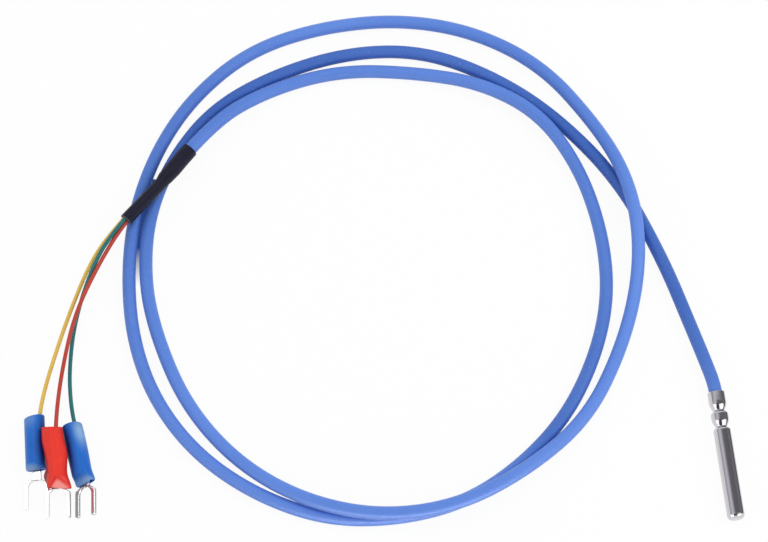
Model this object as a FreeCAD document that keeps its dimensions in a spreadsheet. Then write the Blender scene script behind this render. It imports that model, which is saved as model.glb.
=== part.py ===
"""Three-wire platinum resistance probe: crimped steel sheath, looped blue cable, fork terminals.

Millimetres, +Z up. The sheath lies on the floor along Y with its closed tip towards -Y. The origin is on
the floor under the middle of the sheath. The cable leaves the sheath towards +Y, lies in loose loops on the
-X side and ends in a stepped black tube with three thin wires, each with a fork terminal.
"""
import FreeCAD
import Part
import Sketcher
import math
import os

document = FreeCAD.newDocument("resistance_probe")
sizes = document.addObject("Spreadsheet::Sheet", "sizes")
derived = document.addObject("Spreadsheet::Sheet", "derived")

# Sizes that can be set by themselves, in millimetres and degrees.
DIMENSIONS = [
    # sheath
    ("mouth_place", "15.0"),
    ("sheath_length", "30.0"),
    ("sheath_wall", "0.4"),
    ("bore_clearance", "0.05"),
    ("sheath_end_wall", "0.6"),
    ("tip_rounding", "1.0"),
    ("first_crimp_depth_in", "4.4"),
    ("second_crimp_depth_in", "8.26"),
    ("crimp_depth", "0.55"),
    ("crimp_half_width", "1.15"),
    ("shoulder_rounding", "0.6"),
    # sensing chip and the splices behind it
    ("chip_length", "2.3"),
    ("chip_width", "2.0"),
    ("chip_thickness", "0.65"),
    ("chip_tip_gap", "0.4"),
    ("glaze_length", "0.9"),
    ("glaze_height", "0.45"),
    ("glaze_grip", "0.7"),
    ("chip_lead_diameter", "0.25"),
    ("filler_gap", "0.8"),
    ("copper_diameter", "0.45"),
    ("ferrule_length", "4.0"),
    ("ferrule_wall", "0.2"),
    ("splice_clearance", "0.02"),
    ("splice_tube_wall", "0.12"),
    ("splice_tube_overhang", "0.45"),
    ("splice_setback", "6.0"),
    ("core_strip_back", "4.4"),
    ("ferrule_grip", "1.8"),
    # cable and wires
    ("cable_diameter", "3.1"),
    ("jacket_depth_in", "10.0"),
    ("straight_depth_in", "2.0"),
    ("bend_outside", "1.6"),
    ("wire_diameter", "0.95"),
    ("wire_gap", "0.02"),
    ("wire_end_gap", "0.2"),
    ("wire_spread", "1.12"),
    ("wire_run_out", "2.0"),
    # stepped shrink tube
    ("shrink_wall", "0.33"),
    ("shrink_narrow_wall", "0.36"),
    ("shrink_clearance", "0.02"),
    ("shrink_narrow_clearance", "0.12"),
    ("shrink_wide_length", "8.3"),
    ("shrink_taper_length", "2.4"),
    ("shrink_narrow_length", "11.4"),
    # fork terminals and their sleeves
    ("fork_sheet", "0.8"),
    ("barrel_bore", "1.0"),
    ("barrel_length", "5.0"),
    ("neck_width", "2.2"),
    ("neck_lap", "1.0"),
    ("fork_width", "5.9"),
    ("fork_length", "9.8"),
    ("bend_place", "1.0"),
    ("shoulder_gap", "0.05"),
    ("shoulder_run", "0.9"),
    ("slot_width", "3.7"),
    ("slot_web", "0.25"),
    ("prong_rounding", "0.45"),
    ("sleeve_wall", "0.5"),
    ("sleeve_slack", "0.55"),
    ("sleeve_flat_slack", "0.15"),
    ("sleeve_flat_width", "5.86"),
    ("sleeve_lap", "2.7"),
    ("sleeve_round_start", "1.0"),
    ("yellow_sleeve_length", "12.7"),
    ("red_sleeve_length", "13.8"),
    ("green_sleeve_length", "14.1"),
    ("yellow_sleeve_slide", "1.65"),
    ("red_sleeve_slide", "0.0"),
    ("green_sleeve_slide", "0.45"),
    ("yellow_press", "0.0"),
    ("red_press", "1.0"),
    ("green_press", "0.6"),
    ("yellow_swing", "-1.8"),
    ("red_swing", "-5.2"),
    ("green_swing", "-12.3"),
    ("strand_clearance", "0.01"),
    ("strand_nose", "0.4"),
    ("strand_tail", "0.2"),
    ("strand_gap", "0.12"),
    # how the three terminals lie, the red one in the valley between the other two
    ("lie_clearance", "0.05"),
    ("valley_angle", "29.0"),
    ("red_place_x", "-150.93"),
    ("red_place_y", "11.8"),
    ("red_turn", "1.4"),
    ("red_tilt", "0.0"),
    ("red_roll", "0.0"),
    ("yellow_place_y", "14.95"),
    ("yellow_turn", "-2.0"),
    ("yellow_tilt", "0.0"),
    ("yellow_roll", "0.0"),
    ("green_place_y", "11.95"),
    ("green_turn", "8.5"),
    ("green_tilt", "-5.5"),
    ("green_roll", "-36.0"),
]

# Where each sleeve begins and ends along its terminal, and how flat its front is pressed.
SLEEVE_FORMULAS = []
for colour in ("yellow", "red", "green"):
    press = " * sizes.%s_press" % colour
    SLEEVE_FORMULAS += [
        (colour + "_front", "=sizes.%s_sleeve_slide - sizes.sleeve_lap" % colour),
        (colour + "_back", "=%s_front + sizes.%s_sleeve_length" % (colour, colour)),
        (colour + "_front_half_width", "=sleeve_radius + (flat_half_width - sleeve_radius)" + press),
        (colour + "_front_half_height", "=sleeve_radius + (flat_half_height - sleeve_radius)" + press),
        (colour + "_front_bore_half_width", "=%s_front_half_width - sizes.sleeve_wall" % colour),
        (colour + "_front_bore_half_height", "=%s_front_half_height - sizes.sleeve_wall" % colour),
        (colour + "_front_height", "=tongue_middle" + press),
    ]

# Sizes that follow from the ones above.
FORMULAS = [
    ("cable_radius", "=sizes.cable_diameter / 2"),
    ("bore_radius", "=cable_radius + sizes.bore_clearance"),
    ("sheath_radius", "=bore_radius + sizes.sheath_wall"),
    ("tip_place", "=sizes.mouth_place - sizes.sheath_length"),
    ("bore_floor", "=tip_place + sizes.sheath_end_wall"),
    ("first_crimp", "=sizes.mouth_place - sizes.first_crimp_depth_in"),
    ("second_crimp", "=sizes.mouth_place - sizes.second_crimp_depth_in"),
    ("groove_arc", "=(sizes.crimp_half_width^2 + sizes.crimp_depth^2) / (2 * sizes.crimp_depth)"),
    ("ridge_arc", "=groove_arc + sizes.sheath_wall"),
    ("crimp_centre", "=sheath_radius - sizes.crimp_depth + groove_arc"),
    ("jacket_end", "=sizes.mouth_place - sizes.jacket_depth_in"),
    ("tube_start", "=sizes.mouth_place - sizes.straight_depth_in"),
    ("core_end", "=jacket_end - sizes.core_strip_back"),
    ("ferrule_back", "=jacket_end - sizes.splice_setback"),
    ("ferrule_middle", "=ferrule_back - sizes.ferrule_length / 2"),
    ("splice_tube_length", "=sizes.ferrule_length + 2 * sizes.splice_tube_overhang"),
    ("splice_front", "=ferrule_back + sizes.splice_tube_overhang - splice_tube_length"),
    ("filler_length", "=splice_front - sizes.filler_gap - bore_floor"),
    ("chip_front", "=bore_floor + sizes.chip_tip_gap"),
    ("chip_back", "=chip_front + sizes.chip_length"),
    ("lead_front", "=chip_back - sizes.glaze_grip"),
    ("lead_length", "=ferrule_middle - sizes.ferrule_length / 10 - lead_front"),
    ("single_ferrule_bore", "=sizes.copper_diameter / 2 + sizes.splice_clearance"),
    ("shared_ferrule_bore", "=sizes.copper_diameter + sizes.splice_clearance"),
    ("single_ferrule_radius", "=single_ferrule_bore + sizes.ferrule_wall"),
    ("shared_ferrule_radius", "=shared_ferrule_bore + sizes.ferrule_wall"),
    ("single_tube_bore", "=single_ferrule_radius + sizes.splice_clearance"),
    ("shared_tube_bore", "=shared_ferrule_radius + sizes.splice_clearance"),
    ("single_tube_radius", "=single_tube_bore + sizes.splice_tube_wall"),
    ("shared_tube_radius", "=shared_tube_bore + sizes.splice_tube_wall"),
    ("splice_split", "=shared_tube_radius - single_tube_radius"),
    ("single_side", "=splice_split + single_tube_radius + sizes.splice_clearance / 2"),
    ("shared_side", "=splice_split - shared_tube_radius - sizes.splice_clearance / 2"),
    ("chip_top", "=sheath_radius - sizes.chip_lead_diameter / 2"),
    ("wire_radius", "=sizes.wire_diameter / 2"),
    ("bundle_radius", "=(sizes.wire_diameter + sizes.wire_gap) / sqrt(3)"),
    ("shrink_wide_bore", "=cable_radius + sizes.shrink_clearance"),
    ("shrink_narrow_bore", "=bundle_radius + wire_radius + sizes.shrink_narrow_clearance"),
    ("shrink_wide_radius", "=shrink_wide_bore + sizes.shrink_wall"),
    ("shrink_narrow_radius", "=shrink_narrow_bore + sizes.shrink_narrow_wall"),
    ("barrel_bore_radius", "=sizes.barrel_bore / 2"),
    ("barrel_radius", "=barrel_bore_radius + sizes.fork_sheet"),
    ("sleeve_bore", "=barrel_radius + sizes.sleeve_slack"),
    ("sleeve_radius", "=sleeve_bore + sizes.sleeve_wall"),
    ("flat_bore_half_height", "=(sizes.fork_sheet / 2 + sizes.sleeve_flat_slack) * sqrt(2)"),
    ("flat_half_width", "=sizes.sleeve_flat_width / 2"),
    ("flat_half_height", "=flat_bore_half_height + sizes.sleeve_wall"),
    ("tongue_middle", "=flat_half_height - sleeve_radius"),
    ("tongue_bottom", "=tongue_middle - sizes.fork_sheet / 2"),
    ("tongue_top", "=tongue_middle + sizes.fork_sheet / 2"),
    ("barrel_height", "=tongue_bottom + barrel_radius"),
    ("neck_half", "=sizes.neck_width / 2"),
    ("neck_root_half", "=barrel_radius * 0.7"),
    ("fork_half", "=sizes.fork_width / 2"),
    ("slot_half", "=sizes.slot_width / 2"),
    ("shoulder_start", "=sizes.sleeve_lap + sizes.shoulder_gap"),
    ("shoulder_end", "=shoulder_start + sizes.shoulder_run"),
    ("slot_round", "=shoulder_start + sizes.slot_web + slot_half"),
    ("blade_length", "=sizes.fork_length - sizes.bend_place"),
    ("blade_shoulder_start", "=shoulder_start - sizes.bend_place"),
    ("blade_shoulder_end", "=shoulder_end - sizes.bend_place"),
    ("blade_slot_round", "=slot_round - sizes.bend_place"),
    ("blade_slot_mouth", "=blade_length + slot_half"),
    ("strand_radius", "=sizes.barrel_bore / 2 - sizes.strand_clearance"),
    ("strand_length", "=sizes.strand_nose + sizes.barrel_length + sizes.strand_tail"),
    ("wire_stop", "=sizes.barrel_length + sizes.strand_tail + sizes.strand_gap"),
] + SLEEVE_FORMULAS + [
    ("touching_axes", "=2 * sleeve_radius + sizes.lie_clearance"),
    ("red_back_shift", "=sin(sizes.red_turn) * red_back"),
    ("yellow_reach", "=red_back + sizes.red_place_y - sizes.yellow_place_y"),
    ("green_reach", "=red_back + sizes.red_place_y - sizes.green_place_y"),
    ("yellow_back_shift", "=sin(sizes.yellow_turn) * yellow_reach"),
    ("green_back_shift", "=sin(sizes.green_turn) * green_reach"),
    ("yellow_lift", "=sleeve_radius"),
    ("red_lift", "=sleeve_radius + touching_axes * sin(sizes.valley_angle)"),
    ("rolled_across", "=green_front_half_width * sin(sizes.green_roll)"),
    ("rolled_upright", "=green_front_half_height * cos(sizes.green_roll)"),
    ("rolled_flat", "=hypot(rolled_across; rolled_upright) - green_front_height * cos(sizes.green_roll)"),
    ("tilt_rise", "=sin(sizes.green_tilt) * cos(sizes.green_roll)"),
    ("rolled_flat_drop", "=rolled_flat + tilt_rise * sizes.sleeve_lap / 2"),
    ("prong_reach", "=fork_half * cos(sizes.green_swing) + blade_length * abs(sin(sizes.green_swing))"),
    ("rolled_prong", "=prong_reach * abs(sin(sizes.green_roll)) - tongue_bottom * cos(sizes.green_roll)"),
    ("rolled_prong_drop", "=rolled_prong + tilt_rise * sizes.fork_length"),
    ("green_lift", "=max(rolled_flat_drop; rolled_prong_drop) + sizes.lie_clearance"),
    ("green_back_drop", "=red_lift - green_lift - tilt_rise * green_reach"),
    ("yellow_spacing", "=touching_axes * cos(sizes.valley_angle) + red_back_shift - yellow_back_shift"),
    ("green_spacing", "=sqrt(touching_axes^2 - green_back_drop^2) + green_back_shift - red_back_shift"),
    ("yellow_place_x", "=sizes.red_place_x - yellow_spacing"),
    ("green_place_x", "=sizes.red_place_x + green_spacing"),
]

# The cable's route after it leaves the sheath: out past the right of the loops, over the top, down the left
# side, along the bottom on top of the next loop, up the right side and over the cable's own start, round
# again on the outside, then round on the inside to the shrink tube.
CABLE_ROUTE = [
    (-1.0, 21.8, 1.9),
    (-3.3, 32.0, 1.65),
    (-7.3, 49.0, 1.6),
    (-14.4, 69.8, 1.6),
    (-27.2, 88.3, 1.6),
    (-41.3, 100.1, 1.6),
    (-57.0, 107.9, 1.6),
    (-74.2, 109.4, 1.6),
    (-92.0, 105.7, 1.6),
    (-107.5, 98.6, 1.6),
    (-118.4, 86.8, 1.6),
    (-125.3, 73.0, 1.6),
    (-127.6, 57.0, 1.6),
    (-125.8, 42.5, 1.6),
    (-120.6, 25.8, 1.6),
    (-110.6, 11.2, 1.8),
    (-96.8, 0.1, 3.9),
    (-80.0, -6.0, 5.0),
    (-62.0, -5.6, 5.0),
    (-45.2, 1.2, 4.7),
    (-30.1, 12.2, 2.0),
    (-20.2, 27.5, 1.6),
    (-13.9, 43.0, 1.8),
    (-11.9, 57.0, 4.9),
    (-13.4, 70.5, 5.0),
    (-18.4, 84.4, 2.2),
    (-28.5, 100.6, 1.6),
    (-43.5, 111.4, 1.6),
    (-61.0, 116.7, 1.6),
    (-80.0, 116.8, 1.6),
    (-97.5, 112.6, 1.6),
    (-111.8, 102.4, 1.6),
    (-121.8, 89.6, 1.6),
    (-128.5, 74.5, 1.6),
    (-131.4, 58.5, 1.6),
    (-131.4, 42.5, 1.6),
    (-127.6, 27.6, 1.6),
    (-119.3, 13.9, 1.6),
    (-106.8, 2.9, 1.6),
    (-91.5, -4.6, 1.6),
    (-75.0, -6.3, 1.6),
    (-59.4, -3.9, 1.6),
    (-45.8, 3.5, 1.6),
    (-34.4, 13.7, 1.6),
    (-25.9, 27.3, 1.6),
    (-21.0, 41.5, 1.6),
    (-20.3, 57.0, 1.6),
    (-23.3, 73.5, 1.7),
    (-30.9, 87.7, 3.2),
    (-43.5, 97.4, 2.4),
    (-58.5, 102.6, 1.6),
    (-76.5, 105.0, 1.6),
    (-93.9, 101.7, 2.2),
    (-108.5, 93.0, 4.3),
    (-120.4, 80.8, 5.1),
]

# Where the shrink tube ends, past the two loops that it lies on.
SHRINK_FAR_END = (-130.62, 71.51, 4.85)

# Each wire's route from the shrink tube's end to its terminal's sleeve.
YELLOW_ROUTE = [
    (-139.2, 63.9, 1.9),
    (-145.6, 51.3, 0.8),
    (-150.4, 39.5, 0.8),
    (-153.3, 30.9, 1.6),
]
RED_ROUTE = [
    (-138.7, 60.0, 3.5),
    (-144.3, 49.6, 3.3),
    (-147.8, 37.6, 3.6),
    (-149.7, 28.2, 4.3),
]
GREEN_ROUTE = [
    (-138.4, 62.8, 3.8),
    (-144.2, 50.2, 1.0),
    (-146.6, 38.0, 0.8),
    (-146.8, 28.3, 1.8),
]

# Where each wire enters its sleeve, from the front of the terminal's barrel on the sleeve's axis.
YELLOW_ENTRY = (0.7, 8.4, 0.0)
RED_ENTRY = (0.6, 9.2, 0.0)
GREEN_ENTRY = (0.6, 9.4, 0.0)

# Where each wire lies in the bundle of three, in degrees round the bundle's axis.
YELLOW_SEAT = -30.0
GREEN_SEAT = 90.0
RED_SEAT = 210.0


def fill_sheet(sheet, rows):
    """Writes a column of named cells."""
    for number, (alias, text) in enumerate(rows, start=1):
        sheet.set("A%d" % number, alias)
        sheet.set("B%d" % number, text)
        sheet.setAlias("B%d" % number, alias)
    document.recompute()


fill_sheet(sizes, DIMENSIONS)
fill_sheet(derived, FORMULAS)
SHEET_OF = {alias: "sizes" for alias, text in DIMENSIONS}
SHEET_OF.update({alias: "derived" for alias, text in FORMULAS})


def size(alias):
    """The number in a named cell."""
    return float(document.getObject(SHEET_OF[alias]).get(alias))


def cell(alias):
    """The formula that reads a named cell, with its sign kept."""
    name = alias.lstrip("-")
    sign = "-" if alias.startswith("-") else ""
    return sign + SHEET_OF[name] + "." + name


def signed(alias):
    """The number in a named cell, with its sign kept."""
    name = alias.lstrip("-")
    return -size(name) if alias.startswith("-") else size(name)


def bind(thing, **formulas):
    """Ties properties of an object to formulas."""
    for name, formula in formulas.items():
        thing.setExpression(name, formula)


def bind_place(thing, x=None, y=None, z=None):
    """Ties the position of an object to formulas."""
    for axis, formula in (("x", x), ("y", y), ("z", z)):
        if formula is not None:
            thing.setExpression("Placement.Base." + axis, formula)


ALONG_Y = FreeCAD.Rotation(FreeCAD.Vector(1, 0, 0), -90)
FACING_Y = FreeCAD.Rotation(FreeCAD.Vector(1, 0, 0), 90)


def cylinder_along_y(name, radius, length, x, y, z):
    """A round bar that runs towards +Y from a point, every size a formula."""
    bar = document.addObject("Part::Cylinder", name)
    bind(bar, Radius=radius, Height=length)
    bar.Placement = FreeCAD.Placement(FreeCAD.Vector(0, 0, 0), ALONG_Y)
    bind_place(bar, x, y, z)
    return bar


def cut(name, base, tool):
    """One solid with another taken away."""
    result = document.addObject("Part::Cut", name)
    result.Base = base
    result.Tool = tool
    return result


def fuse(name, pieces):
    """Several solids joined into one."""
    result = document.addObject("Part::MultiFuse", name)
    result.Shapes = pieces
    result.Refine = True
    return result


def new_body(name):
    """An empty body for sketches and features."""
    return document.addObject("PartDesign::Body", name)


def new_sketch(body, name, role):
    """A sketch on one of the body's own origin planes."""
    plane = [feature for feature in body.Origin.OriginFeatures if feature.Role == role][0]
    sketch = body.newObject("Sketcher::SketchObject", name)
    sketch.AttachmentSupport = [(plane, "")]
    sketch.MapMode = "FlatFace"
    return sketch


def hold(sketch, kind, geometry, point, alias):
    """Fixes one coordinate of a sketch point to a named cell."""
    number = sketch.addConstraint(Sketcher.Constraint(kind, geometry, point, signed(alias)))
    sketch.setExpression("Constraints[%d]" % number, cell(alias))


def draw_outline(sketch, corners):
    """A closed outline of straight edges through corners that named cells place. None is a zero."""
    spots = []
    for x, y in corners:
        across = signed(x) if x else 0.0
        along = signed(y) if y else 0.0
        spots.append(FreeCAD.Vector(across, along, 0))
    count = len(spots)
    for i in range(count):
        sketch.addGeometry(Part.LineSegment(spots[i], spots[(i + 1) % count]), False)
    for i in range(count):
        sketch.addConstraint(Sketcher.Constraint("Coincident", i, 2, (i + 1) % count, 1))
    for i, (x, y) in enumerate(corners):
        if x:
            hold(sketch, "DistanceX", i, 1, x)
        else:
            sketch.addConstraint(Sketcher.Constraint("PointOnObject", i, 1, -2))
        if y:
            hold(sketch, "DistanceY", i, 1, y)
        else:
            sketch.addConstraint(Sketcher.Constraint("PointOnObject", i, 1, -1))


def draw_circle(sketch, radius, height):
    """A circle on the sketch's upright axis, its radius and height read from named cells."""
    centre = FreeCAD.Vector(0, signed(height), 0)
    number = sketch.addGeometry(Part.Circle(centre, FreeCAD.Vector(0, 0, 1), size(radius)), False)
    sketch.addConstraint(Sketcher.Constraint("PointOnObject", number, 3, -2))
    hold(sketch, "DistanceY", number, 3, height)
    ring = sketch.addConstraint(Sketcher.Constraint("Radius", number, size(radius)))
    sketch.setExpression("Constraints[%d]" % ring, cell(radius))


def draw_crimp(sketch, wall, arc, place):
    """The slice between a wall line and the crimping roller's arc, at one place along the sheath."""
    half = math.sqrt(size(arc) ** 2 - (size("crimp_centre") - size(wall)) ** 2)
    low = FreeCAD.Vector(size(wall), size(place) - half, 0)
    deep = FreeCAD.Vector(size("crimp_centre") - size(arc), size(place), 0)
    high = FreeCAD.Vector(size(wall), size(place) + half, 0)
    bow = sketch.addGeometry(Part.Arc(low, deep, high), False)
    line = sketch.addGeometry(Part.LineSegment(high, low), False)
    bow_high = sketch.getPoint(bow, 1).y > size(place)
    top_point, low_point = (1, 2) if bow_high else (2, 1)
    sketch.addConstraint(Sketcher.Constraint("Coincident", bow, top_point, line, 1))
    sketch.addConstraint(Sketcher.Constraint("Coincident", bow, low_point, line, 2))
    hold(sketch, "DistanceX", bow, 3, "crimp_centre")
    hold(sketch, "DistanceY", bow, 3, place)
    ring = sketch.addConstraint(Sketcher.Constraint("Radius", bow, size(arc)))
    sketch.setExpression("Constraints[%d]" % ring, cell(arc))
    hold(sketch, "DistanceX", line, 1, wall)
    hold(sketch, "DistanceX", line, 2, wall)


def turn_round_y(body, kind, name, sketch):
    """A revolved feature round the body's Y axis."""
    feature = body.newObject(kind, name)
    feature.Profile = sketch
    feature.ReferenceAxis = (sketch, ["V_Axis"])
    feature.Angle = 360
    return feature


def round_edges(body, name, base, wanted, alias):
    """Rounds every edge of the base feature that the given test picks."""
    document.recompute()
    names = ["Edge%d" % (i + 1) for i, edge in enumerate(base.Shape.Edges) if wanted(edge)]
    feature = body.newObject("PartDesign::Fillet", name)
    feature.Base = (base, names)
    feature.setExpression("Radius", cell(alias))
    return feature


def is_ring(edge, radius, place):
    """True for a full circle of the given radius at the given place along Y."""
    circle = edge.Curve
    if not isinstance(circle, Part.Circle):
        return False
    return abs(circle.Radius - radius) < 1e-4 and abs(circle.Center.y - place) < 1e-4


def probe_sheath():
    """Closed tube with a rounded tip. Two rolled crimps press the wall in at constant thickness."""
    body = new_body("probe_sheath")
    section = new_sketch(body, "sheath_section", "XY_Plane")
    draw_outline(section, [
        (None, "tip_place"),
        ("sheath_radius", "tip_place"),
        ("sheath_radius", "mouth_place"),
        ("bore_radius", "mouth_place"),
        ("bore_radius", "bore_floor"),
        (None, "bore_floor"),
    ])
    tube = turn_round_y(body, "PartDesign::Revolution", "sheath_tube", section)
    ridges = new_sketch(body, "crimp_ridge_section", "XY_Plane")
    draw_crimp(ridges, "bore_radius", "ridge_arc", "first_crimp")
    first_ridge = turn_round_y(body, "PartDesign::Revolution", "first_ridge", ridges)
    more_ridges = new_sketch(body, "second_ridge_section", "XY_Plane")
    draw_crimp(more_ridges, "bore_radius", "ridge_arc", "second_crimp")
    second_ridge = turn_round_y(body, "PartDesign::Revolution", "second_ridge", more_ridges)
    grooves = new_sketch(body, "crimp_groove_section", "XY_Plane")
    draw_crimp(grooves, "sheath_radius", "groove_arc", "first_crimp")
    first_groove = turn_round_y(body, "PartDesign::Groove", "first_groove", grooves)
    more_grooves = new_sketch(body, "second_groove_section", "XY_Plane")
    draw_crimp(more_grooves, "sheath_radius", "groove_arc", "second_crimp")
    second_groove = turn_round_y(body, "PartDesign::Groove", "second_groove", more_grooves)
    tip = round_edges(
        body, "rounded_tip", second_groove,
        lambda edge: is_ring(edge, size("sheath_radius"), size("tip_place")), "tip_rounding")
    half = size("crimp_half_width")
    shoulders = [size(crimp) + side * half for crimp in ("first_crimp", "second_crimp") for side in (-1, 1)]
    round_edges(
        body, "crimp_shoulders", tip,
        lambda edge: any(is_ring(edge, size("sheath_radius"), place) for place in shoulders),
        "shoulder_rounding")
    bind_place(body, z=cell("sheath_radius"))
    return body


def block(name, length_x, length_y, length_z, x, y, z):
    """A box with its sizes and corner tied to formulas."""
    piece = document.addObject("Part::Box", name)
    bind(piece, Length=length_x, Width=length_y, Height=length_z)
    bind_place(piece, x, y, z)
    return piece


def platinum_chip():
    """Ceramic plate with the thin-film resistor, flat side up under its two leads."""
    return block(
        "platinum_chip", "sizes.chip_width", "sizes.chip_length", "sizes.chip_thickness",
        "-sizes.chip_width / 2", "derived.chip_front", "derived.chip_top - sizes.chip_thickness")


def chip_lead(name, side):
    """Fine straight wire from the chip's pad into its splice."""
    return cylinder_along_y(
        name, "sizes.chip_lead_diameter / 2", "derived.lead_length",
        cell(side), "derived.lead_front", "derived.sheath_radius")


def lead_glaze(leads):
    """Glass bead over the bond pads, cast round the two leads."""
    bead = block(
        "glaze_block", "sizes.chip_width", "sizes.glaze_length", "sizes.glaze_height",
        "-sizes.chip_width / 2", "derived.chip_back - sizes.glaze_length", "derived.chip_top")
    return cut("lead_glaze", bead, fuse("glaze_cutter", leads))


def tip_filler(chip, glaze, leads):
    """Cast filler that holds the chip at the closed end."""
    plug = cylinder_along_y(
        "filler_plug", "derived.bore_radius", "derived.filler_length",
        "0", "derived.bore_floor", "derived.sheath_radius")
    return cut("tip_filler", plug, fuse("filler_cutter", [chip, glaze] + leads))


def splice_ring(name, outer, bore, length, side, back):
    """A short tube on one of the two splice axes, its open end at a place along Y."""
    start = back + " - " + length
    bar = cylinder_along_y(name + "_bar", cell(outer), length, cell(side), start, "derived.sheath_radius")
    hole = cylinder_along_y(name + "_hole", cell(bore), length, cell(side), start, "derived.sheath_radius")
    return cut(name, bar, hole)


def ferrule(name, kind):
    """Crimped splice between a chip lead and the copper of one or two cores."""
    return splice_ring(
        name, kind + "_ferrule_radius", kind + "_ferrule_bore", "sizes.ferrule_length",
        kind + "_side", "derived.ferrule_back")


def splice_tube(name, kind):
    """Insulating tube pushed over a splice."""
    return splice_ring(
        name, kind + "_tube_radius", kind + "_tube_bore", "derived.splice_tube_length",
        kind + "_side", "(derived.ferrule_back + sizes.splice_tube_overhang)")


def core_seat(angle):
    """Where a core lies round the sheath's axis, as a point with no place along Y."""
    turn = math.radians(angle)
    across = size("bundle_radius") * math.cos(turn)
    up = size("bundle_radius") * math.sin(turn)
    return FreeCAD.Vector(across, 0, size("sheath_radius") + up)


def probe_core(name, angle):
    """Insulated core between the jacket's end and its stripped end."""
    turn = "cos(%g) * derived.bundle_radius" % angle
    rise = "sin(%g) * derived.bundle_radius + derived.sheath_radius" % angle
    return cylinder_along_y(
        name, "derived.wire_radius", "sizes.core_strip_back", turn, "derived.core_end", rise)


def probe_copper(name, angle, side, rise):
    """Bare copper from a stripped core into its splice."""
    seat = core_seat(angle)
    entry = size("ferrule_back")
    gap = size("core_end") - entry
    inner_z = size("sheath_radius") + rise
    points = [
        FreeCAD.Vector(seat.x, size("core_end"), seat.z),
        FreeCAD.Vector(seat.x, size("core_end") - 0.25 * gap, seat.z),
        FreeCAD.Vector(size(side), entry + 0.2 * gap, inner_z),
        FreeCAD.Vector(size(side), entry - size("ferrule_grip"), inner_z),
    ]
    return tube_piece(name, points, size("copper_diameter") / 2)


def corner_arc(before, corner, after):
    """The tangent arc at a corner, as large as its two runs allow. None where the route is straight."""
    back = before - corner
    ahead = after - corner
    reach = 0.45 * min(back.Length, ahead.Length)
    turn = math.pi - back.getAngle(ahead)
    if turn < 1e-6:
        return None, None
    radius = reach / math.tan(turn / 2)
    back.normalize()
    ahead.normalize()
    first = corner + back * reach
    last = corner + ahead * reach
    inward = back + ahead
    inward.normalize()
    middle = corner + inward * (radius / math.cos(turn / 2) - radius)
    return Part.Arc(first, middle, last), radius


def route_wire(points):
    """Straight runs joined by tangent arcs, with the arcs' radii."""
    edges = []
    radii = []
    here = points[0]
    for i in range(1, len(points) - 1):
        arc, radius = corner_arc(points[i - 1], points[i], points[i + 1])
        if arc is None:
            continue
        edges.append(Part.LineSegment(here, arc.StartPoint).toShape())
        edges.append(arc.toShape())
        here = arc.EndPoint
        radii.append(radius)
    edges.append(Part.LineSegment(here, points[-1]).toShape())
    return Part.Wire(edges), radii


def tube_piece(name, points, radius):
    """A round solid along a route."""
    path, radii = route_wire(points)
    heading = points[1] - points[0]
    ring = Part.Wire([Part.makeCircle(radius, points[0], heading)])
    piece = document.addObject("Part::Feature", name)
    piece.Shape = path.makePipeShell([ring], True, False)
    ideal = math.pi * radius ** 2 * path.Length
    print("%s: length %.1f, volume share %.5f" % (name, path.Length, piece.Shape.Volume / ideal))
    print("  radii " + " ".join("%.1f" % value for value in radii))
    return piece


def cable_points():
    """The cable's route, from just inside the sheath's mouth to the jacket's end in the shrink tube."""
    axis = size("sheath_radius")
    start = FreeCAD.Vector(0, size("tube_start"), axis)
    bend = FreeCAD.Vector(0, size("mouth_place") + size("bend_outside"), axis)
    return [start, bend] + [FreeCAD.Vector(*point) for point in CABLE_ROUTE]


def cable():
    """Blue jacket as one round cord. The end in the sheath is necked by the two crimps."""
    lying = tube_piece("cable_outside", cable_points(), size("cable_radius"))
    stub = cylinder_along_y(
        "cable_stub", "derived.cable_radius", "derived.tube_start - derived.jacket_end",
        "0", "derived.jacket_end", "derived.sheath_radius")
    rollers = []
    for crimp in ("first_crimp", "second_crimp"):
        roller = document.addObject("Part::Torus", crimp + "_roller")
        bind(roller, Radius1="derived.crimp_centre", Radius2="derived.ridge_arc")
        roller.Placement = FreeCAD.Placement(FreeCAD.Vector(0, 0, 0), ALONG_Y)
        bind_place(roller, "0", cell(crimp), "derived.sheath_radius")
        rollers.append(roller)
    necked = cut("cable_necked", stub, fuse("crimp_rollers", rollers))
    return fuse("cable", [lying, necked])


def shrink_legs():
    """Corner of the shrink tube at the jacket's end, and the directions of its wide and narrow parts."""
    route = cable_points()
    corner = route[-1]
    wide = corner - route[-2]
    wide.normalize()
    narrow = FreeCAD.Vector(*SHRINK_FAR_END) - corner
    narrow.normalize()
    return corner, wide, narrow


def shrink_solid(name, wide_radius, narrow_radius, extra):
    """Wide length, taper and narrow length as one solid, with both ends longer by an extra."""
    corner, wide, narrow = shrink_legs()
    turned_wide = FreeCAD.Rotation(FreeCAD.Vector(0, 0, 1), wide)
    turned_narrow = FreeCAD.Rotation(FreeCAD.Vector(0, 0, 1), narrow)
    mouth = corner - wide * (size("shrink_wide_length") + extra)
    sleeve = document.addObject("Part::Cylinder", name + "_wide")
    bind(sleeve, Radius=cell(wide_radius), Height="sizes.shrink_wide_length + %g" % extra)
    sleeve.Placement = FreeCAD.Placement(mouth, turned_wide)
    knee = document.addObject("Part::Sphere", name + "_knee")
    bind(knee, Radius=cell(wide_radius))
    knee.Placement = FreeCAD.Placement(corner, turned_wide)
    taper = document.addObject("Part::Cone", name + "_taper")
    bind(taper, Radius1=cell(wide_radius), Radius2=cell(narrow_radius), Height="sizes.shrink_taper_length")
    taper.Placement = FreeCAD.Placement(corner, turned_narrow)
    tail = document.addObject("Part::Cylinder", name + "_narrow")
    bind(tail, Radius=cell(narrow_radius), Height="sizes.shrink_narrow_length + %g" % extra)
    tail.Placement = FreeCAD.Placement(corner + narrow * size("shrink_taper_length"), turned_narrow)
    return fuse(name, [sleeve, knee, taper, tail])


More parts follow.
